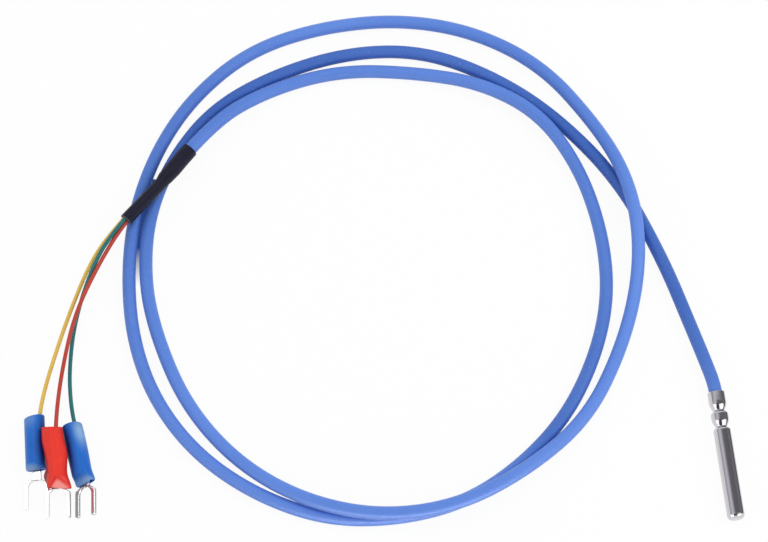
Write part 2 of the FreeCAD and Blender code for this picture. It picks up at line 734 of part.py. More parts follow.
def shrink_tube():
    """Black tube shrunk over the jacket's end and, narrower, over the three wires."""
    outside = shrink_solid("shrink_outside", "shrink_wide_radius", "shrink_narrow_radius", 0)
    inside = shrink_solid("shrink_inside", "shrink_wide_bore", "shrink_narrow_bore", 1)
    return cut("shrink_tube", outside, inside)


def terminal_place(colour):
    """How a terminal lies: its barrel's front on the sleeve's axis, turned, rolled and tilted."""
    place_x = size(colour + "_place_x")
    place_y = size(colour + "_place_y")
    lift = size(colour + "_lift")
    turn = FreeCAD.Rotation(size(colour + "_turn"), size(colour + "_roll"), size(colour + "_tilt"))
    return FreeCAD.Placement(FreeCAD.Vector(place_x, place_y, lift), turn)


def blade_place(colour, height):
    """Where a tongue's blade begins, ahead of the barrel, turned by the tongue's sideways bend."""
    bend = FreeCAD.Vector(0, -size("bend_place"), size(height))
    return FreeCAD.Placement(bend, FreeCAD.Rotation(FreeCAD.Vector(0, 0, 1), size(colour + "_swing")))


def blade_sketch(body, colour, name, height):
    """A sketch that is turned with a tongue's blade."""
    sketch = new_sketch(body, colour + name, "XY_Plane")
    sketch.AttachmentOffset = blade_place(colour, height)
    return sketch


def sheet_pad(body, name, outline):
    """An outline made as thick as the terminal's sheet."""
    pad = body.newObject("PartDesign::Pad", name)
    pad.Profile = outline
    bind(pad, Length="sizes.fork_sheet")
    return pad


def fork(colour):
    """Tinned fork terminal: flat tongue with two prongs, bent a little sideways, rolled barrel behind it."""
    body = new_body(colour + "_fork")
    root = new_sketch(body, colour + "_neck_outline", "XY_Plane")
    root.setExpression("AttachmentOffset.Base.z", "derived.tongue_bottom")
    draw_outline(root, [
        ("neck_root_half", "neck_lap"),
        ("-neck_root_half", "neck_lap"),
        ("-neck_half", "-bend_place"),
        ("neck_half", "-bend_place"),
    ])
    sheet_pad(body, colour + "_neck", root)
    bend = new_sketch(body, colour + "_bend_outline", "XY_Plane")
    bend.setExpression("AttachmentOffset.Base.z", "derived.tongue_bottom")
    draw_circle(bend, "neck_half", "-bend_place")
    sheet_pad(body, colour + "_bend", bend)
    outline = blade_sketch(body, colour, "_blade_outline", "tongue_bottom")
    draw_outline(outline, [
        ("neck_half", None),
        ("-neck_half", None),
        ("-neck_half", "-blade_shoulder_start"),
        ("-fork_half", "-blade_shoulder_end"),
        ("-fork_half", "-blade_length"),
        ("fork_half", "-blade_length"),
        ("fork_half", "-blade_shoulder_end"),
        ("neck_half", "-blade_shoulder_start"),
    ])
    sheet_pad(body, colour + "_blade", outline)
    ring = new_sketch(body, colour + "_barrel_outline", "XZ_Plane")
    draw_circle(ring, "barrel_radius", "barrel_height")
    barrel = body.newObject("PartDesign::Pad", colour + "_barrel")
    barrel.Profile = ring
    barrel.Reversed = True
    bind(barrel, Length="sizes.barrel_length")
    bore = new_sketch(body, colour + "_bore_outline", "XZ_Plane")
    draw_circle(bore, "barrel_bore_radius", "barrel_height")
    hole = body.newObject("PartDesign::Pocket", colour + "_barrel_hole")
    hole.Profile = bore
    hole.Type = "ThroughAll"
    slot = blade_sketch(body, colour, "_slot_outline", "tongue_top")
    draw_outline(slot, [
        ("slot_half", "-blade_slot_round"),
        ("-slot_half", "-blade_slot_round"),
        ("-slot_half", "-blade_slot_mouth"),
        ("slot_half", "-blade_slot_mouth"),
    ])
    straight = body.newObject("PartDesign::Pocket", colour + "_slot")
    straight.Profile = slot
    straight.Type = "ThroughAll"
    arch = blade_sketch(body, colour, "_slot_end_outline", "tongue_top")
    draw_circle(arch, "slot_half", "-blade_slot_round")
    end = body.newObject("PartDesign::Pocket", colour + "_slot_end")
    end.Profile = arch
    end.Type = "ThroughAll"
    unbend = blade_place(colour, "tongue_bottom").inverse()
    round_edges(
        body, colour + "_prong_tips", end, lambda edge: is_prong_corner(edge, unbend), "prong_rounding")
    body.Placement = terminal_place(colour)
    return body


def is_prong_corner(edge, unbend):
    """True for an upright edge at the tips of the prongs, seen with the sideways bend taken out."""
    ends = [unbend.multVec(vertex.Point) for vertex in edge.Vertexes]
    at_tips = all(abs(point.y + size("blade_length")) < 1e-4 for point in ends)
    upright = len(ends) == 2 and abs(ends[0].x - ends[1].x) < 1e-4
    return at_tips and upright


def sleeve_section(name, half_width, half_height, height, place):
    """An oval across the terminal at one place along it."""
    oval = document.addObject("Part::Ellipse", name)
    bind(oval, MajorRadius=half_width, MinorRadius=half_height)
    oval.Placement = FreeCAD.Placement(FreeCAD.Vector(0, 0, 0), FACING_Y)
    bind_place(oval, "0", place, height)
    return oval


def sleeve_solid(colour, side, radius, front):
    """Round over the barrel, and pressed flat towards the fork as far as this sleeve is."""
    name = colour + "_sleeve_" + side
    front_width = cell(colour + front + "_half_width")
    front_height = cell(colour + front + "_half_height")
    middle = cell(colour + "_front_height")
    sections = [
        sleeve_section(name + "_flat", front_width, front_height, middle, cell(colour + "_front")),
        sleeve_section(name + "_start", cell(radius), cell(radius), "0", "sizes.sleeve_round_start"),
        sleeve_section(name + "_end", cell(radius), cell(radius), "0", cell(colour + "_back")),
    ]
    solid = document.addObject("Part::Loft", name)
    solid.Sections = sections
    solid.Solid = True
    solid.Ruled = True
    return solid


def fork_sleeve(colour):
    """Soft sleeve pushed over the barrel."""
    outside = sleeve_solid(colour, "outside", "sleeve_radius", "_front")
    inside = sleeve_solid(colour, "inside", "sleeve_bore", "_front_bore")
    sleeve = cut(colour + "_fork_sleeve", outside, inside)
    sleeve.Placement = terminal_place(colour)
    return sleeve


def wire_copper(colour):
    """Bare strands of a wire, pressed together in the terminal's barrel."""
    strands = document.addObject("Part::Cylinder", colour + "_wire_copper")
    bind(strands, Radius="derived.strand_radius", Height="derived.strand_length")
    start = FreeCAD.Vector(0, -size("strand_nose"), size("barrel_height"))
    strands.Placement = terminal_place(colour) * FreeCAD.Placement(start, ALONG_Y)
    return strands


def wire(colour, seat, route, entry):
    """Insulated wire from the jacket's end, through the shrink tube, to the terminal's barrel."""
    corner, wide, narrow = shrink_legs()
    right = narrow.cross(FreeCAD.Vector(0, 0, 1))
    right.normalize()
    up = right.cross(narrow)
    turn = math.radians(seat)
    offset = (right * math.cos(turn) + up * math.sin(turn)) * size("bundle_radius")
    narrow_start = corner + narrow * size("shrink_taper_length")
    past_end = size("shrink_narrow_length") + size("wire_run_out")
    place = terminal_place(colour)
    barrel_entry = FreeCAD.Vector(0, size("wire_stop"), size("barrel_height"))
    points = [
        corner + narrow * size("wire_end_gap") + offset * size("wire_spread"),
        narrow_start + narrow * (size("shrink_narrow_length") * 0.4) + offset,
        narrow_start + narrow * past_end + offset,
    ]
    points += [FreeCAD.Vector(*point) for point in route]
    points += [place.multVec(FreeCAD.Vector(*entry)), place.multVec(barrel_entry)]
    return tube_piece(colour + "_wire", points, size("wire_radius"))


def build():
    """Every piece of the probe, by name."""
    leads = [chip_lead("chip_lead_single", "single_side"), chip_lead("chip_lead_shared", "shared_side")]
    chip = platinum_chip()
    glaze = lead_glaze(leads)
    twin_rise = size("copper_diameter") / 2 + size("splice_clearance") / 4
    pieces = [
        probe_sheath(),
        chip,
        glaze,
        leads[0],
        leads[1],
        tip_filler(chip, glaze, leads),
        ferrule("single_ferrule", "single"),
        ferrule("shared_ferrule", "shared"),
        splice_tube("single_splice_tube", "single"),
        splice_tube("shared_splice_tube", "shared"),
        probe_core("red_probe_core", 0),
        probe_core("yellow_probe_core", 120),
        probe_core("green_probe_core", 240),
        probe_copper("red_probe_copper", 0, "single_side", 0),
        probe_copper("yellow_probe_copper", 120, "shared_side", twin_rise),
        probe_copper("green_probe_copper", 240, "shared_side", -twin_rise),
        cable(),
        shrink_tube(),
        wire("yellow", YELLOW_SEAT, YELLOW_ROUTE, YELLOW_ENTRY),
        wire("red", RED_SEAT, RED_ROUTE, RED_ENTRY),
        wire("green", GREEN_SEAT, GREEN_ROUTE, GREEN_ENTRY),
    ]
    for colour in ("yellow", "red", "green"):
        pieces.append(wire_copper(colour))
        pieces.append(fork(colour))
        pieces.append(fork_sleeve(colour))
    return pieces


def check(pieces):
    """Stops if any object failed or any piece is not one sound solid."""
    for thing in document.Objects:
        if "Invalid" in thing.State or "Error" in thing.State:
            raise RuntimeError("failed: " + thing.Name + " " + str(thing.State))
    for piece in pieces:
        shape = piece.Shape
        if shape.isNull() or not shape.isValid():
            raise RuntimeError("bad shape: " + piece.Name)
        if len(shape.Solids) != 1:
            raise RuntimeError("not one solid: " + piece.Name + " %d" % len(shape.Solids))


def write(pieces):
    """Writes each piece to its own file, named by its label."""
    os.makedirs("parts", exist_ok=True)
    for piece in pieces:
        piece.Label = piece.Name
        piece.Shape.exportStep("parts/" + piece.Label + ".step")


all_pieces = build()
document.recompute()
check(all_pieces)
write(all_pieces)
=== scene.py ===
"""Three-wire resistance probe with its looped blue cable, dressed for a studio picture.

Metres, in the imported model's frame: +Z up, the sheath on the floor along Y with its tip towards -Y.
"""
import bmesh
import bpy
from math import atan2, cos, exp, hypot, pi, radians, sin, sqrt
from mathutils import Matrix, Vector


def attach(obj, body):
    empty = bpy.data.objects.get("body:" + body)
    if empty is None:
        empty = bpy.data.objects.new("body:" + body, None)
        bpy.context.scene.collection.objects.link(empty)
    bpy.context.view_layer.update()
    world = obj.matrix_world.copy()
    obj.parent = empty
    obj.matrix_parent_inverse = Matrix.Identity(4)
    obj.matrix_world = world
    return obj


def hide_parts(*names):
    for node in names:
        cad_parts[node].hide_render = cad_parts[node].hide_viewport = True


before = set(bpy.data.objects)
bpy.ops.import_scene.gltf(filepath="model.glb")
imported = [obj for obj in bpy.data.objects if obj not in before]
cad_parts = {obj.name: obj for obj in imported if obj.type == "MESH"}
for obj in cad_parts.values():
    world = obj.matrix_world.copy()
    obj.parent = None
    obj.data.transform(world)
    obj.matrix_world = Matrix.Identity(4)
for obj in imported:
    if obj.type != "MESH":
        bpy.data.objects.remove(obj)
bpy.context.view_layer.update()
scene = bpy.context.scene
scene.view_settings.view_transform = "Standard"
mm = 0.001

# Studio. A long lens looks down on a white floor, lit by a white surround and two soft boxes. Cards that
# only mirrors see stand round the sheath, the loops and the forks, white, grey, dark or red, for the bands
# and sparks of a real studio. A strip of the floor between the two left strands carries a painted shadow.
look_at = Vector((-0.07196, 0.05377, 0.0))
azimuth = radians(-6.5)
elevation = radians(70.0)
camera_distance = 0.64
towards_camera = Vector((
    sin(azimuth) * cos(elevation),
    -cos(azimuth) * cos(elevation),
    sin(elevation),
))
camera_data = bpy.data.cameras.new("photo_camera")
camera_data.sensor_fit = "HORIZONTAL"
camera_data.sensor_width = 36.0
camera_data.lens = 128.7
camera = bpy.data.objects.new("photo_camera", camera_data)
camera.location = look_at + towards_camera * camera_distance
camera.rotation_euler = (-towards_camera).to_track_quat("-Z", "Y").to_euler()
scene.collection.objects.link(camera)
scene.camera = camera


def add_node(tree, kind, **settings):
    """A node of one kind in a tree, with its settings."""
    made = tree.nodes.new(kind)
    for name, value in settings.items():
        setattr(made, name, value)
    return made


surround_lit = 0.8
surround_seen = 1.0
surround = bpy.data.worlds.new("white_surround")
surround.use_nodes = True
sky = surround.node_tree
sky_path = add_node(sky, "ShaderNodeLightPath")
sky_level = add_node(sky, "ShaderNodeMath", operation="MULTIPLY_ADD")
sky.links.new(sky_path.outputs["Is Camera Ray"], sky_level.inputs[0])
sky_level.inputs[1].default_value = surround_seen - surround_lit
sky_level.inputs[2].default_value = surround_lit
backdrop = sky.nodes["Background"].inputs
backdrop["Color"].default_value = (1.0, 1.0, 1.0, 1.0)
sky.links.new(sky_level.outputs[0], backdrop["Strength"])
scene.world = surround


def show_mesh(name, data, material):
    """An object in the scene with a mesh in one material."""
    data.materials.append(material)
    made = bpy.data.objects.new(name, data)
    scene.collection.objects.link(made)
    return made


def studio_sheet(name, points, faces, material):
    """A piece of the studio through some points."""
    data = bpy.data.meshes.new(name)
    data.from_pydata(points, [], faces)
    sheet = show_mesh(name, data, material)
    return sheet


def flat_sheet(name, corners, material):
    """A flat piece of the studio through four corners."""
    return studio_sheet(name, corners, [(0, 1, 2, 3)], material)


def bare_material(name):
    """A material without nodes yet, and its tree."""
    material = bpy.data.materials.new(name)
    material.use_nodes = True
    material.node_tree.nodes.clear()
    return material, material.node_tree


floor_grey = 0.9
floor_glow = 0.93


def floor_white():
    """White floor that looks white to the lens and to mirrors and still takes a faint shadow."""
    material, tree = bare_material("floor_white")
    path = add_node(tree, "ShaderNodeLightPath")
    seen = path.outputs["Is Camera Ray"]
    for ray in ("Is Glossy Ray", "Is Transmission Ray"):
        either = add_node(tree, "ShaderNodeMath", operation="MAXIMUM")
        tree.links.new(seen, either.inputs[0])
        tree.links.new(path.outputs[ray], either.inputs[1])
        seen = either.outputs[0]
    share = add_node(tree, "ShaderNodeMath", operation="MULTIPLY")
    tree.links.new(seen, share.inputs[0])
    share.inputs[1].default_value = floor_glow
    paint = add_node(tree, "ShaderNodeBsdfDiffuse")
    paint.inputs["Color"].default_value = (floor_grey, floor_grey, floor_grey, 1.0)
    glow = add_node(tree, "ShaderNodeEmission")
    glow.inputs["Color"].default_value = (1.0, 1.0, 1.0, 1.0)
    mix = add_node(tree, "ShaderNodeMixShader")
    for socket, source in zip(mix.inputs, (share, paint, glow)):
        tree.links.new(source.outputs[0], socket)
    output = add_node(tree, "ShaderNodeOutputMaterial")
    tree.links.new(mix.outputs[0], output.inputs["Surface"])
    return material


flat_sheet("floor", [(-4, -4, 0), (4, -4, 0), (4, 4, 0), (-4, 4, 0)], floor_white())


def leave_to_mirrors(sheet):
    """Leaves a card to mirror-like surfaces only."""
    sheet.visible_camera = False
    sheet.visible_diffuse = False
    sheet.visible_shadow = False
    sheet.visible_transmission = False


def glowing(name):
    """A material that only gives off light, with its glow node."""
    material, tree = bare_material(name)
    glow = add_node(tree, "ShaderNodeEmission")
    output = add_node(tree, "ShaderNodeOutputMaterial")
    tree.links.new(glow.outputs[0], output.inputs["Surface"])
    return material, glow


def place_parts(tree):
    """X, Y and Z of a place in its object's own frame, as outputs."""
    place = add_node(tree, "ShaderNodeTexCoord")
    parts = add_node(tree, "ShaderNodeSeparateXYZ")
    tree.links.new(place.outputs["Object"], parts.inputs[0])
    return parts.outputs


def map_range(tree, value, start, end, low=0.0, high=1.0):
    """The span of a value from start to end laid on the span from low to high."""
    made = add_node(tree, "ShaderNodeMapRange")
    for name, limit in (("From Min", start), ("From Max", end), ("To Min", low), ("To Max", high)):
        made.inputs[name].default_value = limit
    tree.links.new(value, made.inputs["Value"])
    return made.outputs["Result"]


def mix_colours(tree, share, start, end, **settings):
    """A mix of two colours by a share. The start is a colour or another node's output."""
    made = add_node(tree, "ShaderNodeMix", data_type="RGBA", **settings)
    tree.links.new(share, made.inputs["Factor"])
    if isinstance(start, tuple):
        made.inputs["A"].default_value = (*start, 1.0)
    else:
        tree.links.new(start, made.inputs["A"])
    made.inputs["B"].default_value = (*end, 1.0)
    return made.outputs["Result"]


def gap_shade(clear_y, dark_y):
    """Painted shadow on the floor between two cords, deep blue at one end and fading to white along Y."""
    material, glow = glowing("gap_shade")
    tree = material.node_tree
    fade = map_range(tree, place_parts(tree)["Y"], clear_y, dark_y)
    tree.links.new(mix_colours(tree, fade, (0.98, 0.98, 0.98), (0.02, 0.055, 0.24)), glow.inputs["Color"])
    return material


just_above_floor = 0.00003
# The sheet just above the floor glows in the painted shadow's colours.
gap_corners = [(-0.1313, 0.0558), (-0.1289, 0.0558), (-0.1229, 0.0828), (-0.1253, 0.0828)]
flat_sheet("gap_shade", [(*corner, just_above_floor) for corner in gap_corners], gap_shade(0.0565, 0.066))


def card(name, corners, level, tint=(1.0, 0.975, 1.0)):
    """A card of one tone that only mirror-like surfaces see."""
    material, glow = glowing(name)
    glow.inputs["Color"].default_value = (*tint, 1.0)
    glow.inputs["Strength"].default_value = level
    leave_to_mirrors(flat_sheet(name, corners, material))


def wide_corners(left, right, low, high):
    """Corners of a card along X, its lower and its upper edge each at one Y and Z."""
    return [(left, *low), (right, *low), (right, *high), (left, *high)]


def side_corners(x, front, back, bottom, top):
    """Corners of a card that stands upright along Y."""
    return [(x, front, bottom), (x, back, bottom), (x, back, top), (x, front, top)]


def fill_ramp(ramp, stops):
    """Sets a ramp's stops, each a position and a colour."""
    steps = ramp.color_ramp.elements
    while len(steps) < len(stops):
        steps.new(1.0)
    for step, (position, colour) in zip(steps, stops):
        step.position = position
        step.color = (*colour, 1.0)


bend_facets = 60


def bent_card(reach, front, back, bands):
    """A card bent round the sheath's axis, its grey set by the angle from straight up, in degrees."""
    material, glow = glowing("bent_card")
    tree = material.node_tree
    parts = place_parts(tree)
    angle = add_node(tree, "ShaderNodeMath", operation="ARCTAN2")
    tree.links.new(parts["X"], angle.inputs[0])
    tree.links.new(parts["Z"], angle.inputs[1])
    ramp = add_node(tree, "ShaderNodeValToRGB")
    stops = [((degrees + 90) / 180, (level, level * 0.975, level * 1.08)) for degrees, level in bands]
    fill_ramp(ramp, stops)
    tree.links.new(map_range(tree, angle.outputs[0], radians(-90), radians(90)), ramp.inputs[0])
    tree.links.new(ramp.outputs["Color"], glow.inputs["Color"])
    turns = [radians(-90 + 180 * step / bend_facets) for step in range(bend_facets + 1)]
    points = [(reach * sin(turn), y, reach * cos(turn)) for turn in turns for y in (front, back)]
    faces = [(2 * i, 2 * i + 1, 2 * i + 3, 2 * i + 2) for i in range(bend_facets)]
    leave_to_mirrors(studio_sheet("bent_card", points, faces, material))


bent_card(0.1, -0.005, 0.0405, [
    (-90, 0.9), (-80, 0.82), (-76, 0.5), (-67, 0.4), (-60, 0.48), (-50, 0.66), (-38, 0.69), (-28, 0.6),
    (-18, 0.36), (-9, 0.2), (0, 0.165), (10, 0.155), (22, 0.155), (42, 0.115), (63, 0.19), (90, 0.22)])
bent_card(0.1, 0.0405, 0.09, [
    (-90, 0.9), (-80, 0.8), (-76, 0.46), (-66, 0.36), (-56, 0.42), (-46, 0.58), (-36, 0.68), (-26, 0.68),
    (-10, 0.6), (2, 0.56), (15, 0.5), (30, 0.36), (45, 0.26), (60, 0.2), (90, 0.18)])
card("low_dark_flag", wide_corners(0.0065, 0.1, (-0.0125, 0.0004), (0.09, 0.0004)), 0.13)
card("low_white_card", side_corners(-0.01, -0.03, 0.022, 0.0, 0.0055), 0.92)
card("front_card_left", wide_corners(-3.0, -0.35, (-0.5, 0.1), (-0.27, 0.67)), 1.7)
card("front_card_right", wide_corners(0.12, 1.2, (-0.5, 0.1), (-0.27, 0.67)), 1.7)
card("front_dark_roof", wide_corners(-0.1, 0.3, (-0.058, 0.173), (-0.004, 0.178)), 0.12)
card("front_dark_strip", wide_corners(-0.088, 0.03, (-0.096, 0.072), (-0.048, 0.203)), 0.07)
card("front_low_card", wide_corners(-0.125, -0.018, (-0.04, 0.0), (-0.038, 0.019)), 9.0)
card("fork_left_card", side_corners(-0.19, -0.03, 0.05, 0.0, 0.08), 1.15)
card("fork_floor_flag", wide_corners(-0.1475, -0.121, (-0.003, 0.0002), (0.013, 0.0002)), 0.3)
card("back_card", wide_corners(-0.4, 0.4, (0.5, 0.05), (0.46, 0.16)), 1.2)
card("fork_grey_card", side_corners(-0.148, -0.001, 0.009, 0.0, 0.0048), 0.3)
# This red card paints a reflection of the red sleeve on the forks beside it.
card("fork_red_card", side_corners(-0.148, 0.003, 0.01, 0.0048, 0.01), 0.5, tint=(1.0, 0.1, 0.16))
card("fork_white_card", side_corners(-0.1482, 0.002, 0.011, 0.0048, 0.011), 0.65)


def soft_box(name, place, aim, width, power):
    """A square area lamp turned towards a point."""
    lamp_data = bpy.data.lights.new(name, "AREA")
    lamp_data.shape = "SQUARE"
    lamp_data.size = width
    lamp_data.energy = power
    lamp = bpy.data.objects.new(name, lamp_data)
    lamp.location = place
    lamp.rotation_euler = (Vector(aim) - lamp.location).to_track_quat("-Z", "Y").to_euler()
    scene.collection.objects.link(lamp)


soft_box("top_box", (-0.22, 0.22, 0.7), (-0.1, 0.05, 0.0), 0.3, 0.5)
soft_box("right_box", (0.45, 0.0, 0.5), (-0.07, 0.05, 0.0), 0.4, 1.3)

# Inside of the sheath. A thin-film chip lies in cast filler at the tip. Its two glazed leads are crimped to
# the cable's three cores in two ferrules, and glass-fibre tubes keep the splices apart. All are sealed in.


def add_sockets(group, way, kind, *names):
    """Sockets of one kind into or out of a node group."""
    for name in names:
        group.interface.new_socket(name, in_out=way, socket_type=kind)


def add_noise(group, place, scale, detail):
    """Noise at a place, at a scale that comes from another output."""
    made = add_node(group, "ShaderNodeTexNoise")
    made.inputs["Detail"].default_value = detail
    group.links.new(place, made.inputs["Vector"])
    group.links.new(scale, made.inputs["Scale"])
    return made.outputs["Fac"]


def soft_variation():
    """Slow mottling, scattered dust and fine grain for moulded and extruded pieces."""
    group = bpy.data.node_groups.new("soft_variation", "ShaderNodeTree")
    add_sockets(group, "INPUT", "NodeSocketVector", "Place")
    add_sockets(group, "INPUT", "NodeSocketFloat", "Mottle Scale", "Dust Scale", "Grain Scale")
    add_sockets(group, "OUTPUT", "NodeSocketFloat", "Mottle", "Dust", "Grain")
    entry = add_node(group, "NodeGroupInput").outputs
    leave = add_node(group, "NodeGroupOutput").inputs
    mottle = add_noise(group, entry["Place"], entry["Mottle Scale"], 3.0)
    group.links.new(map_range(group, mottle, 0.3, 0.7), leave["Mottle"])
    dust = add_noise(group, entry["Place"], entry["Dust Scale"], 2.0)
    group.links.new(map_range(group, dust, 0.66, 0.8), leave["Dust"])
    group.links.new(add_noise(group, entry["Place"], entry["Grain Scale"], 4.0), leave["Grain"])
    return group


soft_variation_group = soft_variation()


def uneven_surface(tree, grain, smooth, rough, bump, depth):
    """Lets a grain vary the roughness of a finish, and raise its surface a little."""
    shader = tree.nodes["Principled BSDF"]
    tree.links.new(map_range(tree, grain, 0.0, 1.0, smooth, rough), shader.inputs["Roughness"])
    relief = add_node(tree, "ShaderNodeBump")
    relief.inputs["Strength"].default_value = bump
    relief.inputs["Distance"].default_value = depth
    tree.links.new(grain, relief.inputs["Height"])
    tree.links.new(relief.outputs["Normal"], shader.inputs["Normal"])


soft_gloss_span = 0.06
soft_relief = 0.02 * mm


def soft_finish(name, pale, deep, dust, dust_share, roughness, scales, bump, specular=0.4):
    """A moulded or extruded surface: two tones slowly mixed, a little dust, fine grain in gloss and bump."""
    material = bpy.data.materials.new(name)
    material.use_nodes = True
    tree = material.node_tree
    shader = tree.nodes["Principled BSDF"]
    shader.inputs["Specular IOR Level"].default_value = specular
    place = add_node(tree, "ShaderNodeTexCoord")
    vary = add_node(tree, "ShaderNodeGroup", node_tree=soft_variation_group)
    for layer, scale in zip(("Mottle Scale", "Dust Scale", "Grain Scale"), scales):
        vary.inputs[layer].default_value = scale
    tree.links.new(place.outputs["Object"], vary.inputs["Place"])
    tone = mix_colours(tree, vary.outputs["Mottle"], deep, pale, name="tone")
    settled = add_node(tree, "ShaderNodeMath", operation="MULTIPLY")
    tree.links.new(vary.outputs["Dust"], settled.inputs[0])
    settled.inputs[1].default_value = dust_share
    tree.links.new(mix_colours(tree, settled.outputs[0], tone, dust), shader.inputs["Base Color"])
    smooth = roughness - soft_gloss_span
    uneven_surface(tree, vary.outputs["Grain"], smooth, roughness + soft_gloss_span, bump, soft_relief)
    return material


def drawn_lines():
    """Fine streaks along one direction, and slow clouding, for drawn, rolled and plated metal."""
    group = bpy.data.node_groups.new("drawn_lines", "ShaderNodeTree")
    add_sockets(group, "INPUT", "NodeSocketVector", "Place", "Stretch")
    add_sockets(group, "INPUT", "NodeSocketFloat", "Cloud Scale")
    add_sockets(group, "OUTPUT", "NodeSocketFloat", "Streak", "Cloud")
    entry = add_node(group, "NodeGroupInput").outputs
    leave = add_node(group, "NodeGroupOutput").inputs
    stretched = add_node(group, "ShaderNodeVectorMath", operation="MULTIPLY")
    group.links.new(entry["Place"], stretched.inputs[0])
    group.links.new(entry["Stretch"], stretched.inputs[1])
    streak = add_node(group, "ShaderNodeTexNoise")
    streak.inputs["Scale"].default_value = 1.0
    streak.inputs["Detail"].default_value = 4.0
    group.links.new(stretched.outputs["Vector"], streak.inputs["Vector"])
    group.links.new(streak.outputs["Fac"], leave["Streak"])
    group.links.new(add_noise(group, entry["Place"], entry["Cloud Scale"], 3.0), leave["Cloud"])
    return group


drawn_lines_group = drawn_lines()
metal_gloss_span = 0.07
metal_smoothest = 0.02
metal_relief = 0.01 * mm


def metal_finish(name, bright, dull, roughness, stretch, cloud_scale, bump):
    """Bare or plated metal with drawing lines in its gloss and clouding in its colour."""
    material = bpy.data.materials.new(name)
    material.use_nodes = True
    tree = material.node_tree
    shader = tree.nodes["Principled BSDF"]
    shader.inputs["Metallic"].default_value = 1.0
    place = add_node(tree, "ShaderNodeTexCoord")
    lines = add_node(tree, "ShaderNodeGroup", node_tree=drawn_lines_group)
    lines.inputs["Stretch"].default_value = stretch
    lines.inputs["Cloud Scale"].default_value = cloud_scale
    tree.links.new(place.outputs["Object"], lines.inputs["Place"])
    tree.links.new(mix_colours(tree, lines.outputs["Cloud"], dull, bright), shader.inputs["Base Color"])
    smooth = max(roughness - metal_gloss_span, metal_smoothest)
    uneven_surface(tree, lines.outputs["Streak"], smooth, roughness + metal_gloss_span, bump, metal_relief)
    return material


def dress(node, material):
    """Gives a kept node its finish."""
    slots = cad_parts[node].data.materials
    slots.clear()
    slots.append(material)


fired_plate = soft_finish(
    "fired_plate", (0.88, 0.87, 0.83), (0.82, 0.81, 0.77), (0.55, 0.55, 0.56), 0.5, 0.55,
    (900, 2600, 9000), 0.3)
fused_glass = soft_finish(
    "fused_glass", (0.76, 0.8, 0.74), (0.68, 0.73, 0.68), (0.9, 0.92, 0.9), 0.3, 0.14,
    (1200, 3000, 5000), 0.1)
dry_filler = soft_finish(
    "dry_filler", (0.8, 0.78, 0.73), (0.7, 0.68, 0.63), (0.5, 0.49, 0.46), 0.6, 0.85,
    (700, 2200, 6000), 0.8)
glass_fibre_tube = soft_finish(
    "glass_fibre_tube", (0.83, 0.8, 0.7), (0.7, 0.66, 0.55), (0.9, 0.88, 0.8), 0.5, 0.7,
    (1500, 5000, 12000), 0.9)
pale_chip_wire = metal_finish(
    "pale_chip_wire", (0.78, 0.77, 0.74), (0.68, 0.67, 0.65), 0.25, (9000, 300, 9000), 900, 0.1)
tin_plate = metal_finish(
    "tin_plate", (0.9, 0.9, 0.91), (0.83, 0.83, 0.84), 0.22, (2600, 500, 2600), 500, 0.15)
bare_copper = metal_finish(
    "bare_copper", (0.85, 0.45, 0.27), (0.62, 0.29, 0.16), 0.3, (7000, 400, 7000), 900, 0.2)
dress("platinum_chip", fired_plate)
dress("lead_glaze", fused_glass)
dress("tip_filler", dry_filler)
for splice in ("single", "shared"):
    dress("chip_lead_" + splice, pale_chip_wire)
    dress(splice + "_ferrule", tin_plate)
    dress(splice + "_splice_tube", glass_fibre_tube)
for core in ("red", "yellow", "green"):
    dress(core + "_probe_copper", bare_copper)

# Sheath. Stainless tube, closed and rounded at the tip and polished. Two grooves are rolled into it near the
# open end, where it grips the cable's jacket.
sheath_radius = 2.0
sheath_bore = 1.6
sheath_tip = -15.0
sheath_mouth = 15.0
bore_floor = -14.4
axis_radius = 0.05
tip_flat = 0.5
tip_rounding = 1.0
rim_rounding = 0.1
stem_places = (-13.9, -12.0, -8.0, -4.0, 0.0, 4.0, 5.2)
neck_places = (12.8, 14.0)
grooved_start = 5.3
grooved_length = 7.4
bore_grooved_start = 12.8
bore_grooved_length = 7.6
groove_places = (6.74, 10.6)
groove_depth = 0.68
groove_towards_mouth = 1.9
groove_towards_tip = 0.7
groove_roundness = 2.0
groove_bottom = 0.2


def groove_at(place):
    """How far the rolled grooves press the wall in: a long slope to the mouth, a short one to the tip."""
    pressed = 0.0
    for middle in groove_places:
        reach = groove_towards_mouth if place > middle else groove_towards_tip
        away = hypot(place - middle, groove_bottom) - groove_bottom
        pressed = max(pressed, groove_depth * max(1.0 - away / reach, 0.0) ** groove_roundness)
    return pressed


def quarter_round(radius, place, size, start, steps):
    """Points of a rounded edge, as radius and place, over a quarter turn from a start in degrees."""
    turns = [radians(start + 90 * step / steps) for step in range(steps + 1)]
    return [(radius + size * cos(turn), place + size * sin(turn)) for turn in turns]


def sheath_profile():
    """Radius and place from the tip's middle, along the outside, round the rim and back along the bore."""
    profile = [(axis_radius, sheath_tip), (tip_flat, sheath_tip)]
    profile += quarter_round(sheath_radius - tip_rounding, sheath_tip + tip_rounding, tip_rounding, -90, 12)
    profile += [(sheath_radius, place) for place in stem_places]
    for step in range(200):
        place = grooved_start + grooved_length * step / 199
        profile.append((sheath_radius - groove_at(place), place))
    profile += [(sheath_radius, place) for place in neck_places]
    profile += quarter_round(sheath_radius - rim_rounding, sheath_mouth - rim_rounding, rim_rounding, 0, 4)
    profile += quarter_round(sheath_bore + rim_rounding, sheath_mouth - rim_rounding, rim_rounding, 90, 4)
    for step in range(60):
        place = bore_grooved_start - bore_grooved_length * step / 59
        profile.append((sheath_bore - groove_at(place), place))
    profile += [(sheath_bore, bore_floor + rim_rounding), (sheath_bore - rim_rounding, bore_floor)]
    profile.append((axis_radius, bore_floor))
    return profile


